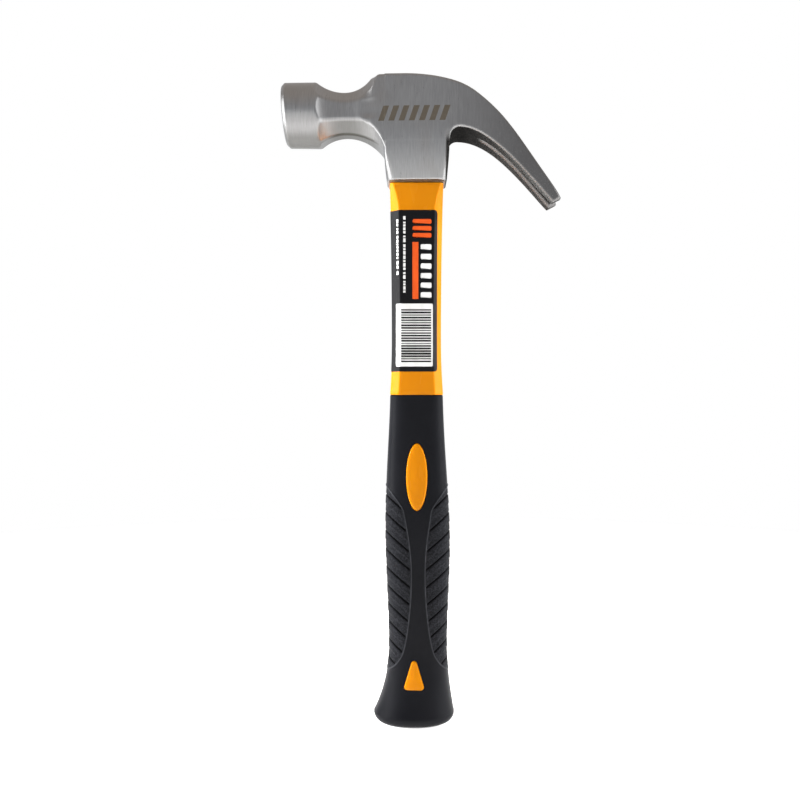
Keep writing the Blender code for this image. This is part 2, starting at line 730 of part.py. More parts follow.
def build_grip():
    grip = make_object("rubber_grip", loft_mesh("rubber_grip", grip_rings(0.0)), parts, rubber)
    seat_top = GRIP_LENGTH + 2.0 * MM
    seat_rings = [spine_ring(CLEARANCE, BUTT_THICKNESS), spine_ring(CLEARANCE, seat_top)]
    seat = make_shaper("grip_seat", loft_mesh("grip_seat", seat_rings))
    beyond = 2.0 * (SPINE_HALF_DEPTH + GRIP_BUTT_FRONT_WALL)
    oval = make_shaper("oval_window", through_prism("oval_window", oval_outline(CLEARANCE), beyond))
    wedge_window = through_prism("wedge_window", wedge_outline(CLEARANCE), beyond)
    wedge = make_shaper("wedge_window", wedge_window)
    for piece in (grip, seat, oval, wedge):
        piece.parent = frame
    for cutter in (seat, oval, wedge):
        shape_with(grip, "DIFFERENCE", cutter)
    smooth_shading(grip)


# ---- Label -------------------------------------------------------------------------


def label_ring(height):
    """Thin strip round the jacket's front: right bevel, front, left bevel and left side."""
    half_width = jacket_half_width(height)
    bevel = jacket_bevel(height)
    flat = half_width - bevel
    side_flat = JACKET_HALF_DEPTH - bevel
    corner_run = math.tan(math.radians(22.5))
    diagonal = math.sqrt(0.5)
    right_edge = JACKET_WAIST_HALF_WIDTH - LABEL_SIDE_MARGIN
    on_bevel = right_edge - flat
    faces = []
    for away in (CLEARANCE + LABEL_THICKNESS, CLEARANCE):
        shift = away * corner_run
        faces.append(
            [
                (right_edge + away * diagonal, on_bevel - JACKET_HALF_DEPTH - away * diagonal),
                (flat + shift, -JACKET_HALF_DEPTH - away),
                (-flat - shift, -JACKET_HALF_DEPTH - away),
                (-half_width - away, -side_flat - shift),
                (-half_width - away, -LABEL_BACK_EDGE),
            ]
        )
    outer, inner = faces
    return [(x, y, height) for x, y in [*outer, *reversed(inner)]]


def build_label():
    steps = 6
    bottom = GRIP_LENGTH + LABEL_GAP_TO_GRIP
    top = HANDLE_LENGTH - LABEL_GAP_TO_HEAD
    heights = [bottom + (top - bottom) * step / steps for step in range(steps + 1)]
    rings = [label_ring(height) for height in heights]
    label = make_object("wrap_label", loft_mesh("wrap_label", rings), parts, film)
    label.parent = frame
    smooth_shading(label, 25.0)


clear_scene()
parts = make_collection(COLLECTION_NAME)
shapers = make_collection(SHAPER_COLLECTION_NAME)
frame = bpy.data.objects.new("hammer_frame", None)
parts.objects.link(frame)

steel = make_material("forged_steel", (0.42, 0.42, 0.43), 0.32, 1.0)
glass = make_material("fibreglass", (0.78, 0.74, 0.58), 0.55)
resin = make_material("epoxy_resin", (0.23, 0.13, 0.07), 0.4)
plastic = make_material("jacket_plastic", (0.83, 0.36, 0.02), 0.3)
rubber = make_material("grip_rubber", (0.015, 0.016, 0.018), 0.6)
film = make_material("label_film", (0.01, 0.01, 0.012), 0.25)

build_head()
bore_for_core = build_core()
build_epoxy(bore_for_core)
build_jacket(bore_for_core)
build_grip()
build_label()
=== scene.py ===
"""Looks of the claw hammer: a forged head, a moulded handle and a soft grip, in metres."""

import json
import math
import random

import bpy
import numpy as np
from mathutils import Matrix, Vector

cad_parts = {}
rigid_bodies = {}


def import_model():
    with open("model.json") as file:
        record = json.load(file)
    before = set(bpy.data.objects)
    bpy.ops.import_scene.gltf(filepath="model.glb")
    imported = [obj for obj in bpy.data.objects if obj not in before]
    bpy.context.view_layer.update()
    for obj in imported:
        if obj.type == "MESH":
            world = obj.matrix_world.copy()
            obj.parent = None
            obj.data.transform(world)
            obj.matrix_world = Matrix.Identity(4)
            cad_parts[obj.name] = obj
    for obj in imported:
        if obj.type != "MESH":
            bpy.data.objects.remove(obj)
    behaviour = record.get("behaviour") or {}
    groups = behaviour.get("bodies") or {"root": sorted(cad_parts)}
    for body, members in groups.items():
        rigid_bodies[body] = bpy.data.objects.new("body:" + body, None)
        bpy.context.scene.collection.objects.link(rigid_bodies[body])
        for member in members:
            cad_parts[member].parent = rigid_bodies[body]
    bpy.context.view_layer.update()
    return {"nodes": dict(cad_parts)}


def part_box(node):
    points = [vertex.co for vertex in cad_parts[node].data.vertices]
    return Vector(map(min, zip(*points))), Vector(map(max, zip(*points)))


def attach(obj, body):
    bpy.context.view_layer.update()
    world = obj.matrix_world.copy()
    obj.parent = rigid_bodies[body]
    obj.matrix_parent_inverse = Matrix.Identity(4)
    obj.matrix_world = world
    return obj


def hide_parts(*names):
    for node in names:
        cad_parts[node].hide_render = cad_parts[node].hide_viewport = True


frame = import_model()


# ---- Head ----
# One drop forging of carbon steel: a turned poll with a bevelled striking face, an
# eight-sided neck, an eye block with flat cheeks, and two claws. It is ground with a
# belt, so fine scratches run up the cheeks, and then oiled.

# Plain numbers are millimetres, and the head's own start at the bottom of its skirt.
MM = 0.001
EPOXY_BEAD = 0.8 * MM
SKIRT_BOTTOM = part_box("epoxy_fill")[0].z + EPOXY_BEAD
HEAD_TOP = 49.6
POLL_AXIS = 33.1
FACE_REACH = 64.0
FACE_LEAN = 0.075
FACE_RADIUS = 15.3
POLL_RADIUS = 15.6
FACE_CHAMFER = 1.6
FACE_CROWN = 0.35
BARREL_LENGTH = 24.0
SHOULDER_REACH, SHOULDER_SLOPE = 41.0, 3.0
WAIST_REACH = 34.0
WAIST_FLAT = 10.2
WAIST_ARC_TO_FACE = 20.8
WAIST_ARC_TO_EYE = (17.9, 17.9, 17.9, 17.9, 17.9, 19.2, 21.5, 19.2)
FACET_EDGE = 0.8
CHEEK_HALF_WIDTH = 14.2
CHEEK_FLARE = 0.042
BLOCK_FACE_WALL = 15.4
BLOCK_CLAW_WALL = 15.5
SKIRT_BLEND = 17.5
CHEEK_DRAW, DRAW_START = 2.8, 26.0
EYE_HALF_WIDTH, EYE_HALF_DEPTH, EYE_CORNER, EYE_TAPER = 10.6, 8.0, 4.0, 1.4
CLAW_TIP = (68.7, -8.6)
SLOT_ROOT, SLOT_RADIUS, SLOT_TAPER, SLOT_CHAMFER = 30.4, 0.9, 0.089, 1.3
HEAD_CELL = 0.5
ETCH_MIDDLE, ETCH_HEIGHT = -1.2 * MM, 30.6 * MM
ETCH_PITCH, ETCH_REACH, ETCH_RISE = 4.8 * MM, 16.8 * MM, 3.4 * MM
ETCH_SLANT, ETCH_SOFTNESS = 0.35, 0.2 * MM


def bezier_points(knots, steps=12):
    """Points along a cubic curve. A knot is its place and its two handle offsets."""
    points = []
    for (start, _, leave), (end, arrive, _) in zip(knots, knots[1:]):
        a, d = np.array(start, float), np.array(end, float)
        b, c = a + leave, d + arrive
        count = steps if any(leave) or any(arrive) else 1
        for t in np.arange(count) / count:
            s = 1.0 - t
            points.append(a * s**3 + 3 * b * s * s * t + 3 * c * s * t * t + d * t**3)
    points.append(np.array(knots[-1][0], float))
    return np.array(points)


def outline_distance(u, v, outline):
    """Distance from points to a closed outline, negative inside it."""
    u, v = np.broadcast_arrays(u, v)
    nearest = np.full(u.shape, np.inf)
    inside = np.zeros(u.shape, bool)
    for (au, av), (bu, bv) in zip(outline, np.roll(outline, -1, axis=0)):
        du, dv = bu - au, bv - av
        share = np.clip(((u - au) * du + (v - av) * dv) / (du * du + dv * dv), 0.0, 1.0)
        nearest = np.minimum(nearest, (u - au - share * du) ** 2 + (v - av - share * dv) ** 2)
        if dv:
            crosses = (av > v) != (bv > v)
            inside ^= crosses & (u < au + (v - av) * du / dv)
    return np.where(inside, -1.0, 1.0) * np.sqrt(nearest)


def both(a, b, radius=0.0):
    """Where two solids overlap, with a rounded edge between them."""
    if np.ndim(radius) == 0 and radius == 0.0:
        return np.maximum(a, b)
    corner = np.hypot(np.maximum(a + radius, 0.0), np.maximum(b + radius, 0.0))
    return np.minimum(np.maximum(a, b), -radius) + corner


def either(a, b, radius=0.0):
    """Two solids joined, with a fillet in the corner between them."""
    return -both(-a, -b, radius)


def chamfered(a, b, leg):
    """Where two solids overlap, with a flat chamfer along the edge."""
    return both(np.maximum(a, b), (a + b + leg) / math.sqrt(2.0), 0.25)


def ease(value, start, end):
    """Smooth step from 0 at the start to 1 at the end."""
    share = np.clip((value - start) / (end - start), 0.0, 1.0)
    return share * share * (3.0 - 2.0 * share)


def cheek(x):
    return CHEEK_HALF_WIDTH + CHEEK_FLARE * x


none = (0.0, 0.0)
tip_x, tip_z = CLAW_TIP
upper_curve = bezier_points(
    (
        ((-6.0, HEAD_TOP), none, (10.0, 0.0)),
        ((28.6, 40.8), (-9.6, 6.8), (14.7, -10.3)),
        ((tip_x - 0.6, tip_z + 1.3), (-21.1, 29.2), none),
    ),
    24,
)
below_upper_curve = np.vstack(
    [
        [(-120.0, -60.0), (-120.0, HEAD_TOP)],
        upper_curve,
        [(tip_x + 14.0, tip_z - 21.0), (tip_x + 14.0, -60.0)],
    ]
)
under_curve = bezier_points(
    (
        ((tip_x - 4.3, tip_z - 2.0), none, (-10.7, 11.5)),
        ((20.3, 24.2), (16.0, 0.0), (-2.6, 0.0)),
        ((BLOCK_CLAW_WALL, SKIRT_BLEND + 0.5), (0.1, 4.5), none),
    ),
    24,
)
above_under_curve = np.vstack(
    [
        [(-BLOCK_FACE_WALL, 80.0), (44.0, 80.0), (44.0, 44.0)],
        [(tip_x - 0.6, tip_z + 1.3), CLAW_TIP],
        under_curve,
        [(BLOCK_CLAW_WALL, SKIRT_BLEND - 0.1), (-BLOCK_FACE_WALL, SKIRT_BLEND - 0.1)],
    ]
)
plan_curve = bezier_points(
    (
        ((-31.0, cheek(-31.0)), none, none),
        ((19.0, cheek(19.0)), none, (5.0, 0.21)),
        ((38.0, 12.2), (-6.0, 0.6), (6.0, -0.4)),
        ((tip_x - 7.0, 11.4), (-8.0, 0.1), (4.0, -0.1)),
        ((tip_x + 0.5, 9.2), (-1.5, 1.4), none),
    )
)
within_plan = np.vstack(
    [[(tip_x + 0.5, -40.0), (-90.0, -40.0), (-90.0, 20.0), (-36.0, 20.0)], plan_curve]
)


def neck_field(lean_x, y, up):
    """Eight facets that follow one arc to the poll and a tighter one to the eye block."""
    neck = None
    for turn in range(8):
        angle = math.radians(45.0 * turn)
        out = y * math.cos(angle) + up * math.sin(angle)
        arc = np.where(lean_x < -WAIST_REACH, WAIST_ARC_TO_FACE, WAIST_ARC_TO_EYE[turn])
        facet = arc - np.hypot(out - WAIST_FLAT - arc, lean_x + WAIST_REACH)
        facet = np.where(out > WAIST_FLAT + arc, arc, facet)
        neck = facet if neck is None else both(neck, facet, FACET_EDGE)
    return neck


def poll_field(lean_x, y, up):
    """Barrel, chamfer and slightly crowned striking face."""
    radius = np.hypot(y, up)
    share = (lean_x + FACE_REACH) / BARREL_LENGTH
    barrel = radius - FACE_RADIUS - (POLL_RADIUS - FACE_RADIUS) * share
    barrel = barrel - SHOULDER_SLOPE * np.maximum(lean_x + SHOULDER_REACH, 0.0)
    face = -FACE_REACH - lean_x + FACE_CROWN * ease(radius, 6.0, 18.0)
    return chamfered(barrel, face, FACE_CHAMFER)


def round_cornered(beside, before, corner):
    """Rounded box, from the distances past its two pairs of inner walls."""
    outside = np.hypot(np.maximum(beside, 0.0), np.maximum(before, 0.0))
    return outside + np.minimum(np.maximum(beside, before), 0.0) - corner


def cheek_draw(x, z):
    """How far the cheeks draw in towards the skirt's bottom edge."""
    share = np.clip((DRAW_START - z) / DRAW_START, 0.0, 1.0)
    return CHEEK_DRAW * share**2 * (1.0 - ease(x, 15.0, 22.0)) * ease(x, -24.0, -16.0)


def skirt_field(x, y, z):
    """Socket: a rounded box that draws in towards its bottom edge."""
    rise = ease(z, -2.0, SKIRT_BLEND)
    left = 13.6 + 1.85 * ease(z, -7.0, 14.0)
    right = 14.0 + 1.4 * ease(z, -8.0, 17.0)
    corner = 4.4 - 3.2 * rise
    depth = cheek(x) - 0.02 - cheek_draw(x, z)
    beside = np.abs(x - 0.5 * (right - left)) - 0.5 * (right + left) + corner
    wall = round_cornered(beside, np.abs(y) - depth + corner, corner)
    return np.maximum(both(wall, -z, 0.6), z - SKIRT_BLEND - 4.0)


def slot_half_width(x):
    """Half the nail slot's width, growing from its round root to its mouth."""
    return SLOT_RADIUS + SLOT_TAPER * (x - SLOT_ROOT - SLOT_RADIUS)


def head_field(x, y, z):
    """Rough distance to the head's surface, negative in the steel."""
    up = z - POLL_AXIS
    lean_x = x + FACE_LEAN * up
    upper = outline_distance(x, z, below_upper_curve)
    under = outline_distance(x, z, above_under_curve)
    plan = outline_distance(x, np.abs(y) + cheek_draw(x, z), within_plan)
    neck = both(neck_field(lean_x, y, up), poll_field(lean_x, y, up), 0.5)
    soft = 0.8 + 4.5 * ease(z, 24.0, 32.0) * (1.0 - ease(z, 36.0, 45.0))
    soft = soft * ease(x, -31.0, -22.0) * (1.0 - ease(x, -18.0, -15.4))
    neck = both(neck, plan, 0.05 + soft)
    neck = np.maximum(both(neck, upper, 0.3 + 2.0 * ease(x, -25.0, -18.0)), x + 13.5)
    steel = either(neck, both(under, upper, 0.6), 0.4)
    edge = 0.7 + 0.5 * ease(upper, -5.0, -2.2)
    steel = both(steel, plan, edge)
    steel = np.minimum(steel, skirt_field(x, y, z))
    # Eye, tapered and wider at the top.
    widen = EYE_TAPER * z / HEAD_TOP - EYE_CORNER
    beside, before = np.abs(x) - EYE_HALF_WIDTH, np.abs(y) - EYE_HALF_DEPTH
    steel = both(steel, -round_cornered(beside - widen, before - widen, EYE_CORNER), 0.4)
    # Nail slot, chamfered where it opens on the underside.
    past_root = x - SLOT_ROOT - SLOT_RADIUS
    slot = np.where(
        past_root < 0.0, np.hypot(past_root, y) - SLOT_RADIUS, np.abs(y) - slot_half_width(x)
    )
    low = np.where(np.abs(under) < 4.0, under, -4.0)
    low = np.where(x > BLOCK_CLAW_WALL + 6.0, low, -4.0)
    steel = both(steel, -slot, 0.35)
    return np.maximum(steel, (low - slot + SLOT_CHAMFER) / math.sqrt(2.0))


def net_mesh(name, field, low, high, cell):
    """Skin of a field: one point in each cell that the surface crosses, pulled onto it."""
    axes = [np.arange(a, b + cell, cell) for a, b in zip(low, high)]
    x, y, z = axes[0][:, None, None], axes[1][None, :, None], axes[2][None, None, :]
    values = np.broadcast_to(field(x, y, z), [len(axis) for axis in axes]).astype(np.float64)
    solid = values < 0.0
    corners = list(np.ndindex(2, 2, 2))
    steps = np.eye(3, dtype=int)
    wide, deep, tall = shape = [n - 1 for n in values.shape]
    count = sum(
        solid[i : i + wide, j : j + deep, k : k + tall].astype(np.int8) for i, j, k in corners
    )
    cells = np.argwhere((count > 0) & (count < 8))
    number = np.full(shape, -1, np.int64)
    number[tuple(cells.T)] = np.arange(len(cells))
    # Middle of the places where the surface crosses each cell's twelve edges.
    total, hits = np.zeros((len(cells), 3)), np.zeros(len(cells))
    for corner in corners:
        for step in steps:
            if np.dot(corner, step):
                continue
            a = values[tuple((cells + corner).T)]
            b = values[tuple((cells + corner + step).T)]
            crossed = (a < 0.0) != (b < 0.0)
            share = np.where(crossed, a / np.where(crossed, a - b, 1.0), 0.0)
            total += (corner + share[:, None] * step) * crossed[:, None]
            hits += crossed
    points = np.array(low) + (cells + total / hits[:, None]) * cell
    nudge = 0.02
    for _ in range(3):
        here = field(*points.T)
        slope = [(field(*(points + nudge * step).T) - here) / nudge for step in steps]
        slope = np.stack(slope, axis=1)
        move = here[:, None] * slope / np.maximum((slope**2).sum(1), 0.25)[:, None]
        points -= np.clip(move, -0.3 * cell, 0.3 * cell)
    # One quad across each grid edge that runs from steel into air.
    quads = []
    for step in steps:
        here = solid[tuple(slice(1 - n, -1) for n in step)]
        ahead = solid[tuple(slice(1, None if n else -1) for n in step)]
        at = np.argwhere(here != ahead) + 1 - step
        one, two = np.roll(step, 1), np.roll(step, 2)
        round_edge = ((1, 1), (0, 1), (0, 0), (1, 0))
        ring = [number[tuple((at - a * one - b * two).T)] for a, b in round_edge]
        ring = np.stack(ring, axis=1)
        inward = ~solid[tuple(at.T)]
        ring[inward] = ring[inward][:, ::-1]
        quads.append(ring)
    return plain_mesh(name, points, np.vstack(quads).tolist())


def plain_mesh(name, points, faces):
    """Smooth mesh from points in millimetres and faces."""
    mesh = bpy.data.meshes.new(name)
    mesh.from_pydata((points * MM).tolist(), [], faces)
    mesh.validate()
    mesh.shade_smooth()
    return mesh


def placed(name, data):
    """New object in the scene."""
    made = bpy.data.objects.new(name, data)
    bpy.context.scene.collection.objects.link(made)
    return made


def new_piece(name, mesh, material):
    mesh.materials.clear()
    mesh.materials.append(material)
    return placed(name, mesh)


low_corner, high_corner = (-66.0, -17.0, -12.0), (70.0, 17.0, HEAD_TOP + 1.5)
head_mesh = net_mesh("forged_head", head_field, low_corner, high_corner, HEAD_CELL)
head_mesh.transform(Matrix.Translation((0.0, 0.0, SKIRT_BOTTOM)))


def points_of(mesh, value="co"):
    """A mesh's points, or their normals, as rows of three."""
    flat = np.zeros(len(mesh.vertices) * 3)
    mesh.vertices.foreach_get(value, flat)
    return flat.reshape(-1, 3)


def mark_points(mesh, name, values):
    """Named value at each point of a mesh, for a material or a node tree to read."""
    attribute = mesh.attributes.new(name, "FLOAT", "POINT")
    attribute.data.foreach_set("value", values.astype(np.float32))


def shader_of(name, colour, roughness, metallic=0.0):
    """New material with its main values set on its own shader."""
    material = bpy.data.materials.new(name)
    material.use_nodes = True
    shader = material.node_tree.nodes["Principled BSDF"]
    shader.inputs["Base Color"].default_value = (*colour, 1.0)
    shader.inputs["Roughness"].default_value = roughness
    shader.inputs["Metallic"].default_value = metallic
    return material, material.node_tree, shader


def feed(tree, socket, value):
    """Set an input to a plain value, or link it to another node's output."""
    if isinstance(value, bpy.types.NodeSocket):
        tree.links.new(value, socket)
    else:
        socket.default_value = value


def node(tree, kind, **inputs):
    """New node with its inputs fed by name, an underscore standing for a space."""
    made = tree.nodes.new(kind)
    for name, value in inputs.items():
        feed(tree, made.inputs[name.replace("_", " ")], value)
    return made


def noise_on(tree, scale, detail=2.0, roughness=0.5):
    """Noise on object coordinates stretched by a scale for each axis, in waves a metre."""
    place = tree.nodes.new("ShaderNodeTexCoord").outputs["Object"]
    stretched = node(tree, "ShaderNodeMapping", Vector=place, Scale=scale).outputs["Vector"]
    noise = node(
        tree, "ShaderNodeTexNoise", Vector=stretched, Scale=1.0, Detail=detail, Roughness=roughness
    )
    return noise.outputs["Fac"]


def ranged(tree, value, low, high, to_low, to_high):
    """A value spread from one range onto another."""
    ends = {"From_Min": low, "From_Max": high, "To_Min": to_low, "To_Max": to_high}
    return node(tree, "ShaderNodeMapRange", Value=value, **ends).outputs["Result"]


def falling(tree, value, start, end, kind="LINEAR"):
    """1 up to the start, falling to 0 at the end."""
    fall = node(tree, "ShaderNodeMapRange", Value=value, From_Min=start, From_Max=end)
    fall.interpolation_type = kind
    fall.inputs["To Min"].default_value = 1.0
    fall.inputs["To Max"].default_value = 0.0
    return fall.outputs["Result"]


def blended(tree, share, first, second):
    """Mix of two colours, each a value or a socket, by a share socket."""
    mix = tree.nodes.new("ShaderNodeMix")
    mix.data_type = "RGBA"
    feed(tree, mix.inputs[0], share)
    for slot, colour in ((6, first), (7, second)):
        feed(tree, mix.inputs[slot], (*colour, 1.0) if isinstance(colour, tuple) else colour)
    return mix.outputs[2]


def mottled(tree, noise, low, high, first, second, most=1.0):
    """The first colour, turning to the second as a noise climbs from low to high."""
    return blended(tree, ranged(tree, noise, low, high, 0.0, most), first, second)


def calculated(tree, operation, *values):
    """Result of one arithmetic step on numbers or sockets."""
    step = tree.nodes.new("ShaderNodeMath")
    step.operation = operation
    for slot, value in enumerate(values):
        feed(tree, step.inputs[slot], value)
    return step.outputs[0]


def from_nearest(tree, value, pitch):
    """Turns from a value to the nearest of evenly spaced lines, from -0.5 to 0.5."""
    turns = calculated(tree, "ADD", calculated(tree, "DIVIDE", value, pitch), 0.5)
    return calculated(tree, "SUBTRACT", calculated(tree, "FRACT", turns), 0.5)


def marked(tree, name):
    """The value of that name marked on the mesh's points."""
    reader = tree.nodes.new("ShaderNodeAttribute")
    reader.attribute_name = name
    return reader.outputs["Fac"]


def bumped(tree, shader, height, strength, depth):
    """Fine relief of a given depth in metres on a shader."""
    bump = node(tree, "ShaderNodeBump", Height=height, Strength=strength, Distance=depth)
    tree.links.new(bump.outputs["Normal"], shader.inputs["Normal"])


def etched_bars(tree, x, y, z):
    """Row of slanting bars etched in the front cheek: 1 on a bar, 0 off it."""
    up = calculated(tree, "SUBTRACT", z, SKIRT_BOTTOM + ETCH_HEIGHT)
    across = calculated(tree, "SUBTRACT", x, ETCH_MIDDLE)
    across = calculated(tree, "MULTIPLY_ADD", up, -ETCH_SLANT, across)
    from_bar, beside, above = (
        calculated(tree, "ABSOLUTE", value)
        for value in (from_nearest(tree, across, ETCH_PITCH), across, up)
    )
    mark = falling(tree, y, -10.0 * MM, -9.0 * MM)
    for value, start, end in (
        (from_bar, 0.26, 0.31),
        (beside, ETCH_REACH, ETCH_REACH + ETCH_SOFTNESS),
        (above, ETCH_RISE, ETCH_RISE + 1.5 * ETCH_SOFTNESS),
    ):
        mark = calculated(tree, "MULTIPLY", mark, falling(tree, value, start, end))
    return mark


def ground_steel():
    """Belt-ground steel: fine scratches run one way, with faint oil and heat tints, and painted
    shade under the neck and poll, towards the claws, near their root and in the nail slot.
    """
    material, tree, shader = shader_of("ground_steel", (0.3, 0.3, 0.3), 0.3, 1.0)
    scratches = noise_on(tree, (2600.0, 160.0, 160.0), 3.0, 0.6)
    clouds = noise_on(tree, (70.0, 70.0, 45.0), 3.0, 0.55)
    grit = noise_on(tree, (1100.0, 1100.0, 1100.0), 3.0, 0.7)
    place = tree.nodes.new("ShaderNodeTexCoord").outputs["Object"]
    x, y, z = node(tree, "ShaderNodeSeparateXYZ", Vector=place).outputs
    etched = etched_bars(tree, x, y, z)
    rawness_and_slot_shade = marked(tree, "unground_and_slot_shade")

    bright = mottled(tree, scratches, 0.3, 0.7, (0.27, 0.27, 0.27), (0.33, 0.33, 0.33))
    tinted = mottled(tree, clouds, 0.52, 0.75, bright, (0.26, 0.235, 0.21), 0.3)
    # Painted shade: steel that faces down under the neck and poll turns nearly black.
    tinted = blended(tree, marked(tree, "lightly_ground"), tinted, (0.055, 0.054, 0.047))
    # Painted shade: the steel darkens towards the claws.
    tinted = mottled(tree, x, 0.010, 0.050, tinted, (0.15, 0.147, 0.145), 0.9)
    tinted = blended(
        tree, calculated(tree, "MULTIPLY", etched, 0.85), tinted, (0.13, 0.105, 0.07)
    )
    # Painted shade: the forged skin is nearly black near the claws' root and deep in the nail
    # slot.
    away_from_root = ranged(tree, x, 0.022, 0.042, 0.0, 1.0)
    open_skin = falling(tree, rawness_and_slot_shade, 1.1, 1.7)
    root_and_slot_shade = mottled(tree, grit, 0.35, 0.65, (0.003, 0.003, 0.003), (0.016, 0.015, 0.014))
    scaled = mottled(tree, grit, 0.4, 0.68, (0.02, 0.02, 0.019), (0.08, 0.08, 0.078))
    lit = calculated(tree, "MULTIPLY", away_from_root, open_skin)
    forged = blended(tree, lit, root_and_slot_shade, scaled)
    tree.links.new(blended(tree, rawness_and_slot_shade, tinted, forged), shader.inputs["Base Color"])

    dull = ranged(tree, scratches, 0.25, 0.75, 0.27, 0.34)
    dull = calculated(tree, "MULTIPLY_ADD", etched, 0.12, dull)
    dull = calculated(tree, "ADD", dull, ranged(tree, rawness_and_slot_shade, 0.0, 1.0, 0.0, 0.25))
    tree.links.new(dull, shader.inputs["Roughness"])
    tree.links.new(ranged(tree, rawness_and_slot_shade, 0.0, 1.0, 1.0, 0.1), shader.inputs["Metallic"])
    shader.inputs["Specular IOR Level"].default_value = 0.0
    pits = calculated(tree, "MULTIPLY", grit, ranged(tree, rawness_and_slot_shade, 0.0, 1.0, 0.0, 1.6))
    relief = calculated(tree, "MULTIPLY_ADD", scratches, 0.2, pits)
    bumped(tree, shader, relief, 0.5, 0.03 * MM)
    return material


def mark_unground_and_slot_shade(mesh):
    """Share of as-forged, unground skin at each point: under the claws and in the slot. Deep in
    the nail slot it runs on up to 2, which the steel turns into painted shade.
    """
    x, y, z = (points_of(mesh) - (0.0, 0.0, SKIRT_BOTTOM)).T / MM
    under = np.abs(outline_distance(x, z, above_under_curve))
    half_plan = np.interp(x, *plan_curve.T)
    within = 1.0 - ease(np.abs(y), half_plan - 1.3, half_plan - 0.5)
    off_slot = np.abs(y) - slot_half_width(np.maximum(x, SLOT_ROOT + SLOT_RADIUS))
    skin = (1.0 - ease(under, 0.8, 2.0)) * ease(x, 13.8, 14.8) * within
    side = ease(x, 13.3, 13.9) * (1.0 - ease(z, 17.0, 24.0)) * (1.0 - ease(x, 17.0, 18.0))
    opened = (1.0 - ease(off_slot, 0.9, 1.5)) * ease(x, SLOT_ROOT - 1.0, SLOT_ROOT + 2.0)
    skin = np.maximum(skin * (1.0 - 0.8 * opened), side)
    wall = (1.0 - ease(off_slot, 0.1, 0.5)) * ease(x, SLOT_ROOT - 1.0, SLOT_ROOT + 1.0)
    # Past 1, deep in the slot, the share is painted shade.
    inner = wall * (0.4 + 1.6 * ease(under, 1.3, 2.2) * (1.0 - ease(under, 6.0, 9.0)))
    mark_points(mesh, "unground_and_slot_shade", np.maximum(skin, inner))


def mark_dull_and_shaded_underside(mesh):
    """Share of painted shade at each point on steel facing down under the neck and poll, where the
    belt also hardly reaches, so the steel there is duller too.
    """
    x = points_of(mesh)[:, 0] / MM
    share = ease(-points_of(mesh, "normal")[:, 2], 0.42, 0.88) * (1.0 - ease(x, -22.0, -13.0))
    share *= 0.65 + 0.35 * ease(x, -44.0, -38.0)
    mark_points(mesh, "lightly_ground", share)


mark_unground_and_slot_shade(head_mesh)
mark_dull_and_shaded_underside(head_mesh)
head = new_piece("forged_head", head_mesh, ground_steel())
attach(head, "root")
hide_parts("hammer_head")


# ---- Fibreglass core ----
# A pultruded bar of glass fibre in polyester resin, sawn to length. Only its upper end
# shows, flush in the epoxy at the top of the eye.


def sawn_fibreglass():
    """Cut ends of thousands of fibres: pale resin with fine darker and lighter dots."""
    material, tree, shader = shader_of("sawn_fibreglass", (0.72, 0.66, 0.45), 0.6)
    fibres = noise_on(tree, (3000.0, 3000.0, 200.0), 2.0, 0.8)
    patches = noise_on(tree, (260.0, 260.0, 60.0))
    speckled = mottled(tree, fibres, 0.35, 0.65, (0.5, 0.43, 0.25), (0.85, 0.8, 0.6))
    stained = mottled(tree, patches, 0.45, 0.7, speckled, (0.45, 0.36, 0.2), 0.6)
    tree.links.new(stained, shader.inputs["Base Color"])
    bumped(tree, shader, fibres, 0.5, 0.08 * MM)
    return material


core = frame["nodes"]["fibreglass_core"]
core.data.materials.clear()
core.data.materials.append(sawn_fibreglass())


# ---- Epoxy ----
# Brown two-part resin poured round the core. It fills the eye to just under its rim and
# a little of it is squeezed out under the skirt, where it sets as an uneven bead.

BEAD_HALF_WIDTH, BEAD_HALF_DEPTH, BEAD_CORNER = 12.8, 9.4, 2.2
SEAM_HEIGHT = 0.6
LUMP_TURN, LUMP_WIDTH = 5.72, 0.16
EPOXY_GAP = 0.05
EPOXY_RECESS = 1.0


def arc(x, y, radius, start, end, steps):
    """Points along an arc, its ends given as turns in radians."""
    turns = np.linspace(start, end, steps)
    return np.column_stack([x + radius * np.cos(turns), y + radius * np.sin(turns)])


def rounded_ring(half_width, half_depth, corner, steps=8):
    """Points round a rounded rectangle, counter-clockwise from its right side."""
    ring = []
    for start in 0.5 * math.pi * np.arange(4):
        x = math.copysign(half_width - corner, math.cos(start + 0.25 * math.pi))
        y = math.copysign(half_depth - corner, math.sin(start + 0.25 * math.pi))
        ring.append(arc(x, y, corner, start, start + 0.5 * math.pi, steps))
    return np.vstack(ring)


def evenly_spaced(ring, count):
    """The same closed outline with its points at equal steps along it."""
    closed = np.vstack([ring, ring[:1]])
    run = np.concatenate([[0.0], np.cumsum(np.hypot(*np.diff(closed, axis=0).T))])
    steps = np.arange(count) * run[-1] / count
    return np.stack([np.interp(steps, run, closed[:, axis]) for axis in range(2)], axis=1)


def skinned(rings):
    """Points and faces of a closed tube through rings of (x, y, z)."""
    count = len(rings[0])
    points = np.vstack(rings)
    faces = []
    for row in range(len(rings) - 1):
        here = row * count + np.arange(count)
        there = row * count + np.roll(np.arange(count), -1)
        quads = np.stack([here, there, there + count, here + count], axis=1)
        faces.extend(tuple(quad) for quad in quads)
    faces.append(tuple(range(count))[::-1])
    faces.append(tuple(range(len(points) - count, len(points))))
    return points, faces


def polygon_mesh(name, bodies):
    """One mesh of closed bodies, each its points and faces, with its real edges kept sharp."""
    points, faces, start = [], [], 0
    for body_points, body_faces in bodies:
        points.append(body_points)
        faces.extend(tuple(int(corner) + start for corner in face) for face in body_faces)
        start += len(body_points)
    mesh = plain_mesh(name, np.vstack(points), faces)
    mesh.set_sharp_from_angle(angle=math.radians(38.0))
    return mesh


def at_height(ring, height):
    return np.column_stack([ring, np.broadcast_to(height, len(ring))])


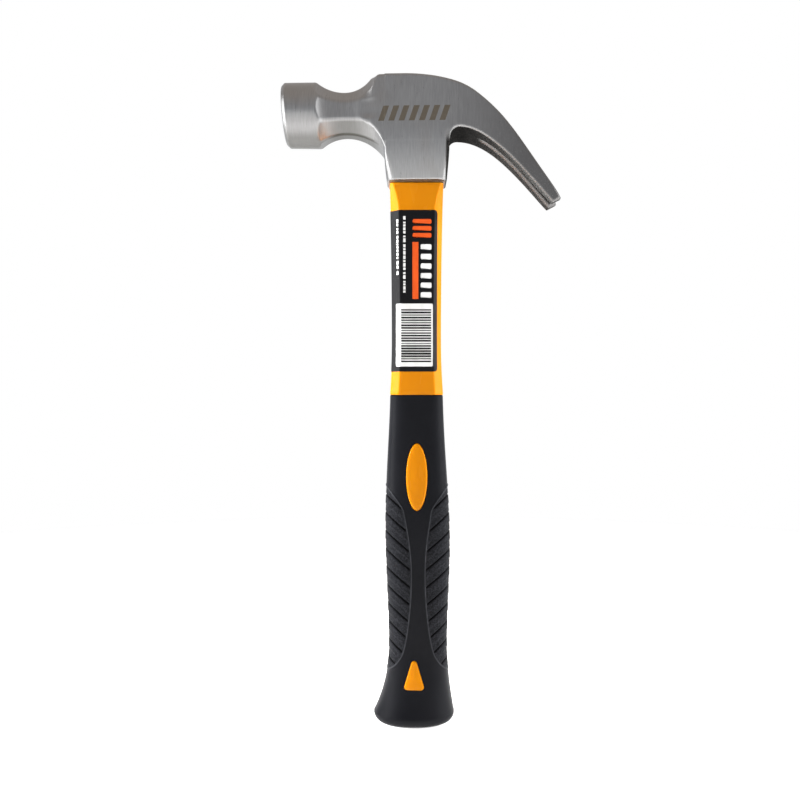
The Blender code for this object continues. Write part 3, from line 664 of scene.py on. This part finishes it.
def epoxy_body(count=96):
    """Uneven bead under the skirt, then the fill up to its dished top."""
    skirt = SKIRT_BOTTOM / MM
    turns = np.arange(count) * 2.0 * math.pi / count
    waves = ((0.16, 3.0, 0.8), (0.12, 7.0, 2.0), (0.08, 13.0, 0.0))
    uneven = sum(size * np.sin(rate * turns + start) for size, rate, start in waves)
    lump = 0.9 * np.exp(-(((turns - LUMP_TURN) / LUMP_WIDTH) ** 2))
    bead = evenly_spaced(rounded_ring(BEAD_HALF_WIDTH, BEAD_HALF_DEPTH, BEAD_CORNER), count)
    outward = bead / np.hypot(*bead.T)[:, None]
    rings = []
    for share in np.linspace(0.0, 1.0, 6):
        bulge = 0.28 * math.sin(math.pi * share) + 0.1 * share
        ring = bead + outward * (bulge * (1.0 + 2.0 * uneven + lump) + 0.35)[:, None]
        rings.append(at_height(ring, skirt - (SEAM_HEIGHT + 0.3 * lump) * (1.0 - share)))
    width, depth = EYE_HALF_WIDTH - EPOXY_GAP, EYE_HALF_DEPTH - EPOXY_GAP
    for height, grow in ((0.05, 0.0), (24.0, 0.7), (46.6, 1.35)):
        ring = evenly_spaced(rounded_ring(width + grow, depth + grow, EYE_CORNER), count)
        rings.append(at_height(ring, skirt + height))
    width, depth = width + 1.42, depth + 1.42
    top = skirt + HEAD_TOP - EPOXY_RECESS
    for inset, sink in ((0.15, 0.0), (0.5, 0.25), (1.2, 0.42), (2.4, 0.5)):
        ring = rounded_ring(width - inset, depth - inset, EYE_CORNER - inset)
        rings.append(at_height(evenly_spaced(ring, count), top - sink + 0.05 * uneven))
    return skinned(rings)


def cured_resin():
    """Dark honey-brown resin with a soft gloss and a few trapped bubbles."""
    material, tree, shader = shader_of("cured_resin", (0.16, 0.085, 0.035), 0.32)
    clouds = noise_on(tree, (420.0, 420.0, 420.0), 3.0, 0.6)
    colour = mottled(tree, clouds, 0.35, 0.65, (0.05, 0.025, 0.011), (0.13, 0.07, 0.03))
    tree.links.new(colour, shader.inputs["Base Color"])
    bumped(tree, shader, clouds, 0.6, 0.2 * MM)
    return material


epoxy_mesh = polygon_mesh("epoxy_fill_and_bead", [epoxy_body()])
epoxy = new_piece("epoxy_fill_and_bead", epoxy_mesh, cured_resin())
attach(epoxy, "root")
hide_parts("epoxy_fill")


# ---- Jacket ----
# Glossy yellow-orange polypropylene moulded over the core. Above the grip it is an
# eight-sided bar with softened edges. Two pads of it stand up through the grip on each
# face: a long oval under the palm and a small wedge near the butt.

GRIP_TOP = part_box("rubber_grip")[1].z / MM
JACKET_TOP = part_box("handle_jacket")[1].z / MM
JACKET_HALF_DEPTH = 9.4
JACKET_EDGE_RADIUS = 1.3
JACKET_WAIST, JACKET_WAIST_WIDTH = 183.0, 11.7
JACKET_BEVEL, BEVEL_FADE = 3.0, 15.0
SPINE_HALF_WIDTH, SPINE_HALF_DEPTH, SPINE_BEVEL = 10.3, 7.4, 3.0
OVAL_PAD = (0.0, GRIP_TOP - 38.8, 5.1, 16.0)
WEDGE_PAD = (-1.3, 17.4, 4.7, 13.6)
PAD_RISE, PAD_RIM, PAD_RIM_SHARE, PAD_CROWN = 0.3, 0.45, 0.86, 0.25


def jacket_half_width(height):
    """Slimmest between grip and head, easing wider towards both."""
    upper = (height - JACKET_WAIST) / (SKIRT_BOTTOM / MM - JACKET_WAIST)
    lower = (JACKET_WAIST - height) / (JACKET_WAIST - GRIP_TOP)
    return JACKET_WAIST_WIDTH + 1.1 * max(upper, 0.0) ** 2 + max(lower, 0.0) ** 2


def jacket_bevel(height):
    """Full along the handle, fading out over the last stretch below the head."""
    share = min(1.0, max(0.0, (SKIRT_BOTTOM / MM - height) / BEVEL_FADE))
    return 1.0 + JACKET_BEVEL * math.sin(0.5 * math.pi * share)


def octagon_outline(half_width, half_depth, bevel, radius, steps=5):
    """Eight-sided section with its corners rounded, counter-clockwise from its right side."""
    radius = min(radius, 1.1 * bevel)
    w, d = half_width, half_depth
    corners = ((w, d - bevel, 0), (w - bevel, d, 1), (bevel - w, d, 2), (-w, d - bevel, 3))
    corners += tuple((-x, -y, side + 4) for x, y, side in corners)
    back = radius * math.tan(math.pi / 8.0)
    ring = []
    for x, y, side in corners:
        start = 0.25 * math.pi * side
        x += back * math.sin(start) - radius * math.cos(start)
        y -= back * math.cos(start) + radius * math.sin(start)
        ring.append(arc(x, y, radius, start, start + 0.25 * math.pi, steps))
    return np.vstack(ring)


def jacket_ring(level, inset=0.0, steps=5):
    """Section of the bar above the grip."""
    width, depth = jacket_half_width(level) - inset, JACKET_HALF_DEPTH - inset
    return octagon_outline(width, depth, jacket_bevel(level), JACKET_EDGE_RADIUS, steps)


def jacket_body():
    """Spine under the grip, a shoulder with a softened lip, then the bar up to the head."""
    spine = octagon_outline(SPINE_HALF_WIDTH, SPINE_HALF_DEPTH, SPINE_BEVEL, 0.8)
    rings = [at_height(spine, height) for height in np.linspace(12.0, GRIP_TOP - 0.2, 12)]
    for height, inset in ((0.0, 0.9), (0.0, 0.35), (0.12, 0.12), (0.4, 0.0)):
        rings.append(at_height(jacket_ring(GRIP_TOP + height, inset), GRIP_TOP + height))
    plain_top = SKIRT_BOTTOM / MM - BEVEL_FADE - 1.0
    plain = np.linspace(GRIP_TOP + 2.0, plain_top, 44)
    for level in (*plain, *np.linspace(plain_top + 0.8, JACKET_TOP, 20)):
        rings.append(at_height(jacket_ring(level), level))
    return skinned(rings)


def grip_value(stations, height):
    """Smooth value at a height, through (height, value, slope) stations."""
    if height <= stations[0][0]:
        return stations[0][1]
    for (low, a, slope_a), (high, b, slope_b) in zip(stations, stations[1:]):
        if height <= high:
            run = high - low
            t = (height - low) / run
            s = 1.0 - t
            from_a = s * s * (a * (1 + 2 * t) + slope_a * run * t)
            return from_a + t * t * (b * (1 + 2 * s) - slope_b * run * s)
    return stations[-1][1]


def grip_section(height):
    """Half width, half depth, sideways centre and squareness of the grip at a height."""
    width = ((4.4, 19.3, -0.34), (37.0, 14.05, 0.0), (88.0, 15.5, 0.0), (GRIP_TOP, 12.7, -0.02))
    depth = ((4.4, 17.4, -0.34), (37.0, 12.0, 0.0), (88.0, 12.6, 0.0), (GRIP_TOP, 9.6, -0.02))
    centre = ((4.4, -1.2, 0.16), (37.0, 0.7, 0.0), (68.0, 0.7, 0.0), (GRIP_TOP - 20.0, 0.0, 0.0))
    squareness = ((4.4, 2.2, 0.0), (37.0, 2.7, 0.0), (GRIP_TOP, 3.4, 0.0))
    return [grip_value(stations, height) for stations in (width, depth, centre, squareness)]


def grip_skin_depth(x, height):
    """How far the grip's bare outer form stands from its middle plane."""
    width, depth, centre, squareness = grip_section(height)
    across = min(abs((x - centre) / width), 0.999)
    return depth * (1.0 - across**squareness) ** (1.0 / squareness)


def oval_outline(grow=0.0, count=72):
    x, z, half_width, half_length = OVAL_PAD
    turns = np.arange(count) * 2.0 * math.pi / count
    across, up = (half_width + grow) * np.cos(turns), (half_length + grow) * np.sin(turns)
    return np.column_stack([x + across, z + up])


def wedge_outline(grow=0.0, count=72):
    """Tall triangle with rounded corners."""
    x, base, half_base, length = WEDGE_PAD
    lean, right_angle, radius = math.radians(16.0), 0.5 * math.pi, 1.4
    centres = (
        (half_base - radius, radius, -right_angle, lean),
        (0.0, length - radius, lean, math.pi - lean),
        (radius - half_base, radius, math.pi - lean, 3.0 * right_angle),
    )
    corners = [arc(x + a, base + b, radius + grow, c, d, 10) for a, b, c, d in centres]
    return evenly_spaced(np.vstack(corners), count)


def pad_body(outline, side):
    """Crowned pad on one face of the grip, with a rounded rim and walls down to the spine."""
    middle = outline.mean(axis=0)
    foot = np.full(len(outline), side * (SPINE_HALF_DEPTH - 0.4))
    rings = [np.column_stack([outline[:, 0], foot, outline[:, 1]])]
    for share in (*np.linspace(1.0, PAD_RIM_SHARE, 4), 0.7, 0.5, 0.3, 0.1):
        flat = middle + (outline - middle) * share
        skin = np.array([grip_skin_depth(x, z) for x, z in flat])
        past_rim = max(0.0, (share - PAD_RIM_SHARE) / (1.0 - PAD_RIM_SHARE))
        edge = math.sqrt(max(0.0, 1.0 - past_rim**2))
        out = skin - PAD_RIM + (PAD_RISE + PAD_RIM) * edge + PAD_CROWN * (1.0 - share)
        rings.append(np.column_stack([flat[:, 0], side * out, flat[:, 1]]))
    points, faces = skinned(rings)
    return points, faces if side < 0 else [face[::-1] for face in faces]


def glossy_plastic():
    """Saturated yellow-orange plastic, a little translucent, with moulding ripple."""
    material, tree, shader = shader_of("glossy_plastic", (0.82, 0.30, 0.008), 0.22)
    shader.inputs["Subsurface Weight"].default_value = 0.12
    shader.inputs["Subsurface Radius"].default_value = (1.0, 0.45, 0.1)
    shader.inputs["Subsurface Scale"].default_value = 0.002
    shader.inputs["Specular IOR Level"].default_value = 0.1
    flow = noise_on(tree, (90.0, 90.0, 24.0), 2.0, 0.5)
    colour = mottled(tree, flow, 0.35, 0.65, (0.35, 0.117, 0.0006), (0.385, 0.131, 0.001))
    tree.links.new(colour, shader.inputs["Base Color"])
    ripple = noise_on(tree, (240.0, 240.0, 60.0), 2.0, 0.5)
    tree.links.new(ranged(tree, ripple, 0.3, 0.7, 0.16, 0.3), shader.inputs["Roughness"])
    bumped(tree, shader, ripple, 0.25, 0.1 * MM)
    return material


pad_outlines = (oval_outline(), wedge_outline())
pads = [pad_body(outline, side) for outline in pad_outlines for side in (-1, 1)]
jacket_mesh = polygon_mesh("jacket_and_pads", [jacket_body(), *pads])
jacket = new_piece("jacket_and_pads", jacket_mesh, glossy_plastic())
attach(jacket, "root")
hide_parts("handle_jacket")


# ---- Grip ----
# Soft black rubber moulded over the jacket's spine. Its front and back are smooth
# hourglass bands with a fine raised edge; beside them lie stippled panels cut by slanting
# grooves, so that a wet hand doesn't slip. The butt flares out and is rounded below.

GRIP_EDGE_RADIUS = 4.4
TREAD_TOP, TREAD_BOTTOM = 115.0, 25.0
GROOVE_PITCH = 8.6 * MM
GROOVE_DEPTH = 0.75 * MM
GROOVE_WIDTH = 1.25 * MM
GROOVE_DROP = 0.8
RIM_HEIGHT = 0.28 * MM
RIM_WIDTH = 0.5 * MM
GROOVE_OFFSET = 100.3 * MM
WINDOW_GAP = 0.12

# Half width of the smooth band against height, from the panels' lower ends to their tops.
band_edge = bezier_points(
    (
        ((15.0, TREAD_BOTTOM), none, (-4.0, 2.6)),
        ((7.75, 33.0), (1.9, -3.4), (-2.2, 4.2)),
        ((3.2, 70.0), (0.1, -15.0), (-0.1, 13.0)),
        ((6.6, 101.4), (-1.2, -7.0), (0.4, 2.2)),
        ((16.0, TREAD_TOP), (-4.0, -5.6), none),
    )
)


def grip_ring(height, inset, count):
    """Section of the grip with its points at equal steps round it."""
    width, depth, centre, squareness = grip_section(height)
    turns = np.linspace(0.0, 2.0 * math.pi, 1440, endpoint=False)
    power = 2.0 / squareness
    across = np.sign(np.cos(turns)) * np.abs(np.cos(turns)) ** power
    deep = np.sign(np.sin(turns)) * np.abs(np.sin(turns)) ** power
    ring = np.column_stack([centre + (width - inset) * across, (depth - inset) * deep])
    return at_height(evenly_spaced(ring, count), height)


def grip_body(count=212):
    """Plain outer form: rounded butt edge, flare, waist, palm and softened top lip."""
    rings = []
    for angle in np.linspace(0.0, 0.5 * math.pi, 16)[:-1]:
        height = GRIP_EDGE_RADIUS * (1.0 - math.cos(angle))
        rings.append(grip_ring(height, GRIP_EDGE_RADIUS * (1.0 - math.sin(angle)), count))
    for height in np.arange(GRIP_EDGE_RADIUS, GRIP_TOP - 0.6, 0.42):
        rings.append(grip_ring(height, 0.0, count))
    for height, inset in ((0.55, 0.0), (0.3, 0.06), (0.12, 0.2), (0.02, 0.5)):
        rings.append(grip_ring(GRIP_TOP - height, inset, count))
    return skinned(rings)


def mark_tread(mesh):
    """Marks for the tread: distance beyond the band's edge, and the run of the grooves."""
    x, _, z = points_of(mesh).T / MM
    width, _, centre, _ = np.array([grip_section(height) for height in z]).T
    across = np.abs(x - centre)
    band = np.interp(z, band_edge[:, 1], band_edge[:, 0], left=40.0, right=40.0)
    lean = np.gradient(band_edge[:, 0], band_edge[:, 1])
    lean = np.interp(z, band_edge[:, 1], lean)
    mark_points(mesh, "band_gap", (across - band) / np.hypot(1.0, lean) * MM)
    mark_points(mesh, "groove_run", (z + GROOVE_DROP * (width - across)) * MM)


def new_tree(name, lengths, counts=()):
    """Geometry Nodes tree with a named input for each of its lengths and counts."""
    tree = bpy.data.node_groups.new(name, "GeometryNodeTree")
    inputs = [("Geometry", "Geometry")]
    inputs += [(label, "Float") for label in lengths] + [(label, "Int") for label in counts]
    for label, kind in inputs:
        tree.interface.new_socket(label, in_out="INPUT", socket_type="NodeSocket" + kind)
    tree.interface.new_socket("Geometry", in_out="OUTPUT", socket_type="NodeSocketGeometry")
    return tree, tree.nodes.new("NodeGroupInput").outputs


def end_tree(tree, geometry, material):
    """Make every copy real, give it its material and send it out."""
    real = node(tree, "GeometryNodeRealizeInstances", Geometry=geometry).outputs["Geometry"]
    paint = node(tree, "GeometryNodeSetMaterial", Geometry=real, Material=material)
    result = tree.nodes.new("NodeGroupOutput")
    tree.links.new(paint.outputs["Geometry"], result.inputs["Geometry"])


def tread_tree(material):
    """Geometry Nodes that press slanting grooves and a raised rim into the grip's skin."""
    lengths = ("Groove pitch", "Groove depth", "Groove width", "Groove offset")
    tree, given = new_tree("grip_tread", (*lengths, "Rim height", "Rim width"))
    gap, run = (
        node(tree, "GeometryNodeInputNamedAttribute", Name=name).outputs["Attribute"]
        for name in ("band_gap", "groove_run")
    )

    def step(operation, *values):
        return calculated(tree, operation, *values)

    def smooth_fall(value, start, end):
        return falling(tree, value, start, end, "SMOOTHSTEP")

    run = step("SUBTRACT", run, given["Groove offset"])
    turns = from_nearest(tree, run, given["Groove pitch"])
    from_groove = step("MULTIPLY", step("ABSOLUTE", turns), given["Groove pitch"])
    groove = smooth_fall(from_groove, 0.0, step("MULTIPLY", given["Groove width"], 0.5))
    slope = step("MULTIPLY", turns, 0.35)
    pressed = step("MULTIPLY", step("ADD", groove, slope), given["Groove depth"])
    on_panel = step("SUBTRACT", 1.0, smooth_fall(gap, 0.2 * MM, 0.9 * MM))
    rim = smooth_fall(step("ABSOLUTE", gap), 0.0, given["Rim width"])
    raised = step("MULTIPLY", rim, given["Rim height"])
    height = step("SUBTRACT", raised, step("MULTIPLY", pressed, on_panel))
    offset = tree.nodes.new("ShaderNodeVectorMath")
    offset.operation = "SCALE"
    normal = tree.nodes.new("GeometryNodeInputNormal").outputs["Normal"]
    feed(tree, offset.inputs[0], normal)
    feed(tree, offset.inputs["Scale"], height)
    geometry, moved = given["Geometry"], offset.outputs["Vector"]
    move = node(tree, "GeometryNodeSetPosition", Geometry=geometry, Offset=moved)
    end_tree(tree, move.outputs["Geometry"], material)
    return tree


def plain_result(piece, name):
    """The evaluated piece as a plain mesh on a new object, with the first one removed."""
    bpy.context.view_layer.update()
    evaluated = piece.evaluated_get(bpy.context.evaluated_depsgraph_get())
    mesh = bpy.data.meshes.new_from_object(evaluated)
    mesh.name = name
    bpy.data.objects.remove(piece, do_unlink=True)
    return placed(name, mesh)


def add_tree(piece, tree, **inputs):
    """Geometry Nodes modifier with its inputs set by their sockets' identifiers."""
    modifier = piece.modifiers.new(tree.name, "NODES")
    modifier.node_group = tree
    for socket in tree.interface.items_tree:
        name = socket.name.replace(" ", "_").lower()
        if socket.in_out == "INPUT" and name in inputs:
            modifier[socket.identifier] = inputs[name]


def moulded_rubber():
    """Black rubber: a low sheen on the bands and a fine stipple on the panels, with painted shade
    in the grooves and a painted highlight along the bands' raised edge.
    """
    material, tree, shader = shader_of("moulded_rubber", (0.003, 0.003, 0.004), 0.5)
    shader.inputs["Specular IOR Level"].default_value = 0.1
    gap = marked(tree, "band_gap")
    on_panel = ranged(tree, gap, 0.0, 0.6 * MM, 0.0, 1.0)
    stipple = noise_on(tree, (1500.0, 1500.0, 1500.0), 2.0, 0.6)
    skin = noise_on(tree, (420.0, 420.0, 420.0), 3.0, 0.6)
    dust = noise_on(tree, (60.0, 60.0, 40.0), 2.0, 0.5)
    plain = mottled(tree, dust, 0.35, 0.7, (0.0022, 0.0024, 0.0034), (0.0036, 0.0038, 0.005))
    grained = mottled(tree, stipple, 0.4, 0.7, (0.0025, 0.0027, 0.0035), (0.012, 0.0125, 0.015))
    run = calculated(tree, "SUBTRACT", marked(tree, "groove_run"), GROOVE_OFFSET)
    from_groove = calculated(tree, "ABSOLUTE", from_nearest(tree, run, GROOVE_PITCH))
    # Painted shade: the grooves' floors turn nearly black.
    shaded = falling(tree, from_groove, 0.03, 0.085)
    grained = blended(tree, shaded, grained, (0.0004, 0.0004, 0.0006))
    # Painted highlight: a lighter grey line along the bands' raised edge.
    rim_highlight = falling(tree, calculated(tree, "ABSOLUTE", gap), 0.12 * MM, 0.4 * MM)
    coloured = blended(tree, on_panel, plain, grained)
    rim_highlight = calculated(tree, "MULTIPLY", rim_highlight, 0.8)
    coloured = blended(tree, rim_highlight, coloured, (0.022, 0.023, 0.026))
    tree.links.new(coloured, shader.inputs["Base Color"])
    tree.links.new(ranged(tree, on_panel, 0.0, 1.0, 0.46, 0.62), shader.inputs["Roughness"])
    grain = calculated(tree, "MULTIPLY", stipple, on_panel)
    bumped(tree, shader, calculated(tree, "MULTIPLY_ADD", skin, 0.12, grain), 0.9, 0.22 * MM)
    return material


rubber = moulded_rubber()
plain_grip = new_piece("plain_grip", polygon_mesh("plain_grip", [grip_body()]), rubber)
mark_tread(plain_grip.data)
add_tree(
    plain_grip,
    tread_tree(rubber),
    groove_pitch=GROOVE_PITCH,
    groove_depth=GROOVE_DEPTH,
    groove_width=GROOVE_WIDTH,
    groove_offset=GROOVE_OFFSET,
    rim_height=RIM_HEIGHT,
    rim_width=RIM_WIDTH,
)
for outline in (oval_outline(WINDOW_GAP), wedge_outline(WINDOW_GAP)):
    for side in (-1, 1):
        walls = []
        for depth in (SPINE_HALF_DEPTH - 0.5, 30.0):
            out = np.full(len(outline), side * depth)
            walls.append(np.column_stack([outline[:, 0], out, outline[:, 1]]))
        cutter_mesh = polygon_mesh("window_cutter", [skinned(walls)])
        cutter = new_piece("window_cutter", cutter_mesh, rubber)
        if side > 0:
            cutter.data.flip_normals()
        cutter.hide_render = True
        window = plain_grip.modifiers.new("window", "BOOLEAN")
        window.operation = "DIFFERENCE"
        window.solver = "MANIFOLD"
        window.object = cutter
grip = plain_result(plain_grip, "moulded_grip")
for cutter in [piece for piece in bpy.data.objects if piece.name.startswith("window_cutter")]:
    bpy.data.objects.remove(cutter, do_unlink=True)
grip.data.shade_smooth()
grip.data.set_sharp_from_angle(angle=math.radians(50.0))
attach(grip, "root")
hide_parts("rubber_grip")


# ---- Label ----
# Printed glossy film wrapped round the front of the jacket: black, with an orange mark
# and stripe, a pale band, lines of small print and a white panel of bars. The marks are
# plain shapes that say nothing.

LABEL_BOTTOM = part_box("wrap_label")[0].z / MM
LABEL_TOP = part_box("wrap_label")[1].z / MM
LABEL_LEFT, LABEL_RIGHT, LABEL_CORNER = -17.2, 10.3, 1.6
LABEL_LIFT, LABEL_THICKNESS = 0.04, 0.12
PRINT_LIFT, PRINT_THICKNESS = LABEL_LIFT + LABEL_THICKNESS, 0.03

# Runs round the jacket from its front's middle, and heights from the label's lower edge.
STRIPE = (-2.0, 0.8, 34.4, 61.4)
MARK_LEFT, MARK_RIGHT, MARK_BOTTOM, MARK_BAR, MARK_PITCH = -1.9, 7.0, 63.4, 2.3, 3.3
PANEL = (-10.4, 7.6, 2.4, 32.2)
BLOCK_LEFT, BLOCK_RIGHT, BLOCK_BOTTOM, BLOCK_HEIGHT, BLOCK_PITCH = 1.9, 7.0, 34.9, 2.7, 4.55
SMALL_PRINT = ((-6.4, 37.4, 74.2), (-9.9, 46.0, 74.2))
SMALL_PRINT_WIDTH = 1.1


def front_path(height):
    """Outline round the jacket's front at a height: run from the middle, place, outward way."""
    ring = jacket_ring(height, steps=9)
    half = ring[ring[:, 1] < -0.01]
    half = half[np.argsort(np.arctan2(half[:, 0], -half[:, 1]))]
    half = np.vstack([[half[0, 0], -0.5], half, [half[-1, 0], -0.5]])
    run = np.concatenate([[0.0], np.cumsum(np.hypot(*np.diff(half, axis=0).T))])
    run -= np.interp(0.0, half[:, 0], run)
    tangent = np.gradient(half, run, axis=0)
    tangent /= np.hypot(*tangent.T)[:, None]
    return run, half, np.column_stack([tangent[:, 1], -tangent[:, 0]])


def film_body(left, right, bottom, top, lift, thickness, corner=0.0):
    """Closed slab of film lying on the jacket between two runs and two heights."""
    across = np.linspace(left, right, max(2, int((right - left) / 0.35) + 1))
    up = np.linspace(0.0, 1.0, max(2, int((top - bottom) / 3.0) + 2))
    edge = np.minimum(across - left, right - across)
    trim = corner - np.sqrt(np.maximum(corner**2 - np.maximum(corner - edge, 0.0) ** 2, 0.0))
    sheets = []
    for depth in (lift + thickness, lift):
        rows = []
        for share in up:
            height = bottom + (top - bottom) * share
            run, place, outward = front_path(height)
            spot = [np.interp(across, run, part) for part in (*place.T, *outward.T)]
            x, y = spot[0] + depth * spot[2], spot[1] + depth * spot[3]
            z = bottom + trim + (top - bottom - 2.0 * trim) * share
            rows.append(np.column_stack([x, y, z]))
        sheets.append(rows)
    rings = [np.vstack([outer, inner[::-1]]) for outer, inner in zip(*sheets)]
    return skinned(rings)


def printed_film(name, colour, roughness=0.2):
    """Ink under a clear gloss film, with slight unevenness where it was pressed down."""
    material, tree, shader = shader_of(name, colour, roughness)
    shader.inputs["Specular IOR Level"].default_value = 0.17
    flow = noise_on(tree, (300.0, 300.0, 120.0), 2.0, 0.5)
    darker = tuple(0.88 * part for part in colour)
    uneven = mottled(tree, flow, 0.35, 0.65, darker, colour)
    tree.links.new(uneven, shader.inputs["Base Color"])
    bumped(tree, shader, flow, 0.2, 0.08 * MM)
    return material


def label_piece(name, bodies, material):
    """One layer of the label, which rides on the handle."""
    piece = new_piece(name, polygon_mesh(name, bodies), material)
    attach(piece, "root")
    return piece


def print_body(left, right, low, high, corner=0.0):
    """Thin layer of ink on the film."""
    low, high = LABEL_BOTTOM + low, LABEL_BOTTOM + high
    return film_body(left, right, low, high, PRINT_LIFT, PRINT_THICKNESS, corner)


film = (LABEL_LEFT, LABEL_RIGHT, LABEL_BOTTOM, LABEL_TOP, LABEL_LIFT, LABEL_THICKNESS)
black_film = printed_film("black_film", (0.002, 0.002, 0.0025))
label = label_piece("label_film", [film_body(*film, LABEL_CORNER)], black_film)
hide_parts("wrap_label")

orange_bodies = [print_body(*STRIPE)]
for bar in range(3):
    low = MARK_BOTTOM + bar * MARK_PITCH
    orange_bodies.append(print_body(MARK_LEFT, MARK_RIGHT, low, low + MARK_BAR, 0.6))
orange_ink = printed_film("orange_ink", (0.46, 0.06, 0.008))
label_piece("label_orange_marks", orange_bodies, orange_ink)

pale_bodies = [print_body(*PANEL, 0.4)]
for block in range(6):
    low = BLOCK_BOTTOM + block * BLOCK_PITCH
    pale_bodies.append(print_body(BLOCK_LEFT, BLOCK_RIGHT, low, low + BLOCK_HEIGHT, 0.5))
dice = random.Random(4)
for left, low, end in SMALL_PRINT:
    while low < end - 1.0:
        length = dice.uniform(0.7, 1.9)
        pale_bodies.append(print_body(left, left + SMALL_PRINT_WIDTH, low, low + length))
        low += length + dice.choice((0.45, 0.45, 1.0))
label_piece("label_pale_print", pale_bodies, printed_film("white_ink", (0.5, 0.5, 0.49)))


def bar_tree(material):
    """Geometry Nodes that stack thin bars of uneven thickness up a panel."""
    lengths = ("Bar length", "Bar depth", "Panel height", "Thinnest", "Thickest")
    tree, given = new_tree("label_bars", lengths, ("Bars", "Seed"))
    top = node(tree, "ShaderNodeCombineXYZ", Z=given["Panel height"]).outputs["Vector"]
    line = node(tree, "GeometryNodeMeshLine", Count=given["Bars"], Offset=top)
    line.mode = "END_POINTS"
    thickness = node(tree, "FunctionNodeRandomValue", Seed=given["Seed"])
    thickness.data_type = "FLOAT"
    feed(tree, thickness.inputs[2], given["Thinnest"])
    feed(tree, thickness.inputs[3], given["Thickest"])
    length, depth = given["Bar length"], given["Bar depth"]
    size = node(tree, "ShaderNodeCombineXYZ", X=length, Y=depth, Z=thickness.outputs[1])
    bar = tree.nodes.new("GeometryNodeMeshCube").outputs["Mesh"]
    points, scale = line.outputs["Mesh"], size.outputs["Vector"]
    copies = node(
        tree, "GeometryNodeInstanceOnPoints", Points=points, Instance=bar, Scale=scale
    )
    end_tree(tree, copies.outputs["Instances"], material)
    return tree


bar_ink = printed_film("black_ink", (0.002, 0.002, 0.0025))
bar_start = placed("bar_start", bpy.data.meshes.new("bar_start"))
add_tree(
    bar_start,
    bar_tree(bar_ink),
    bar_length=14.2 * MM,
    bar_depth=0.06 * MM,
    panel_height=24.4 * MM,
    thinnest=0.3 * MM,
    thickest=1.0 * MM,
    bars=21,
    seed=11,
)
bars = plain_result(bar_start, "label_bars")
bars_front = -(JACKET_HALF_DEPTH + PRINT_LIFT + PRINT_THICKNESS) * MM
bars.data.transform(Matrix.Translation((-0.3 * MM, bars_front, (LABEL_BOTTOM + 4.8) * MM)))
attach(bars, "root")


# ---- Stage ----
# A plain pale floor in a light room, with a soft box and a wide wash from each side and
# a lamp above the floor. A level camera looks at the middle of the handle.

FLOOR_RADIUS, FLOOR_SIDES, FLOOR_LIGHT = 0.8, 64, 0.45
CAMERA_SIDE, CAMERA_AWAY, CAMERA_HEIGHT = -5.55 * MM, -471.2 * MM, 154.0 * MM

floor_turns = np.linspace(0.0, 2.0 * math.pi, FLOOR_SIDES, endpoint=False)
rim = [(FLOOR_RADIUS * math.cos(turn), FLOOR_RADIUS * math.sin(turn), 0.0) for turn in floor_turns]
floor_mesh = bpy.data.meshes.new("floor")
floor_mesh.from_pydata(rim, [], [tuple(range(FLOOR_SIDES))])
paper, _, paper_shader = shader_of("pale_floor", (0.9, 0.9, 0.9), 0.9)
paper_shader.inputs["Emission Color"].default_value = (1.0, 1.0, 1.0, 1.0)
paper_shader.inputs["Emission Strength"].default_value = FLOOR_LIGHT
floor = new_piece("floor", floor_mesh, paper)


def soft_box(name, place, target, width, height, power):
    """Rectangular soft light that looks at a target."""
    light = bpy.data.lights.new(name, "AREA")
    light.shape = "RECTANGLE"
    light.size, light.size_y = width, height
    light.energy = power
    box = placed(name, light)
    box.location = place
    aim = Vector(target) - Vector(place)
    box.rotation_euler = aim.to_track_quat("-Z", "Y").to_euler()
    return box


middle = (0.0, 0.0, 0.17)
soft_box("left_box", (-0.9, -0.15, 0.3), middle, 0.7, 0.9, 6.5)
soft_box("right_box", (0.9, -0.1, 0.3), middle, 0.6, 0.9, 4.0)
washes = (("left_wash", (-0.9, -0.1, 0.25), 9.0), ("right_wash", (0.9, -0.06, 0.25), 6.0))
for name, place, power in washes:
    wash = soft_box(name, place, middle, 0.3, 0.7, power)
    wash.data.spread = math.radians(70.0)
    wash.visible_glossy = False

spot = bpy.data.lights.new("floor_light", "SPOT")
spot.energy = 65.0
spot.spot_size = math.radians(34.0)
spot.spot_blend = 0.6
spot.shadow_soft_size = 0.1
placed("floor_light", spot).location = (0.0, -0.95, 1.7)

# The room is a little brighter level with the hammer, warm above and cool below.
world = bpy.data.worlds.new("light_room")
bpy.context.scene.world = world
world.use_nodes = True
room = world.node_tree
direction = room.nodes.new("ShaderNodeTexCoord").outputs["Generated"]
upward = node(room, "ShaderNodeSeparateXYZ", Vector=direction).outputs["Z"]
walls = mottled(room, upward, 0.0, 0.9, (0.52, 0.55, 0.60), (0.64, 0.58, 0.54))
walls = mottled(room, upward, -0.12, 0.12, (1.4, 1.4, 1.4), walls)
seen = room.nodes.new("ShaderNodeLightPath").outputs["Is Camera Ray"]
shown = blended(room, seen, walls, (1.0, 1.0, 1.0))
room.links.new(shown, room.nodes["Background"].inputs["Color"])
bpy.context.scene.view_settings.view_transform = "Standard"

lens = bpy.data.cameras.new("camera")
lens.sensor_width = 36.0
lens.lens = 43.83
lens.shift_x = -0.00625
camera = placed("camera", lens)
camera.location = (CAMERA_SIDE, CAMERA_AWAY, CAMERA_HEIGHT)
camera.rotation_euler = (math.radians(90.0), 0.0, 0.0)
bpy.context.scene.camera = camera
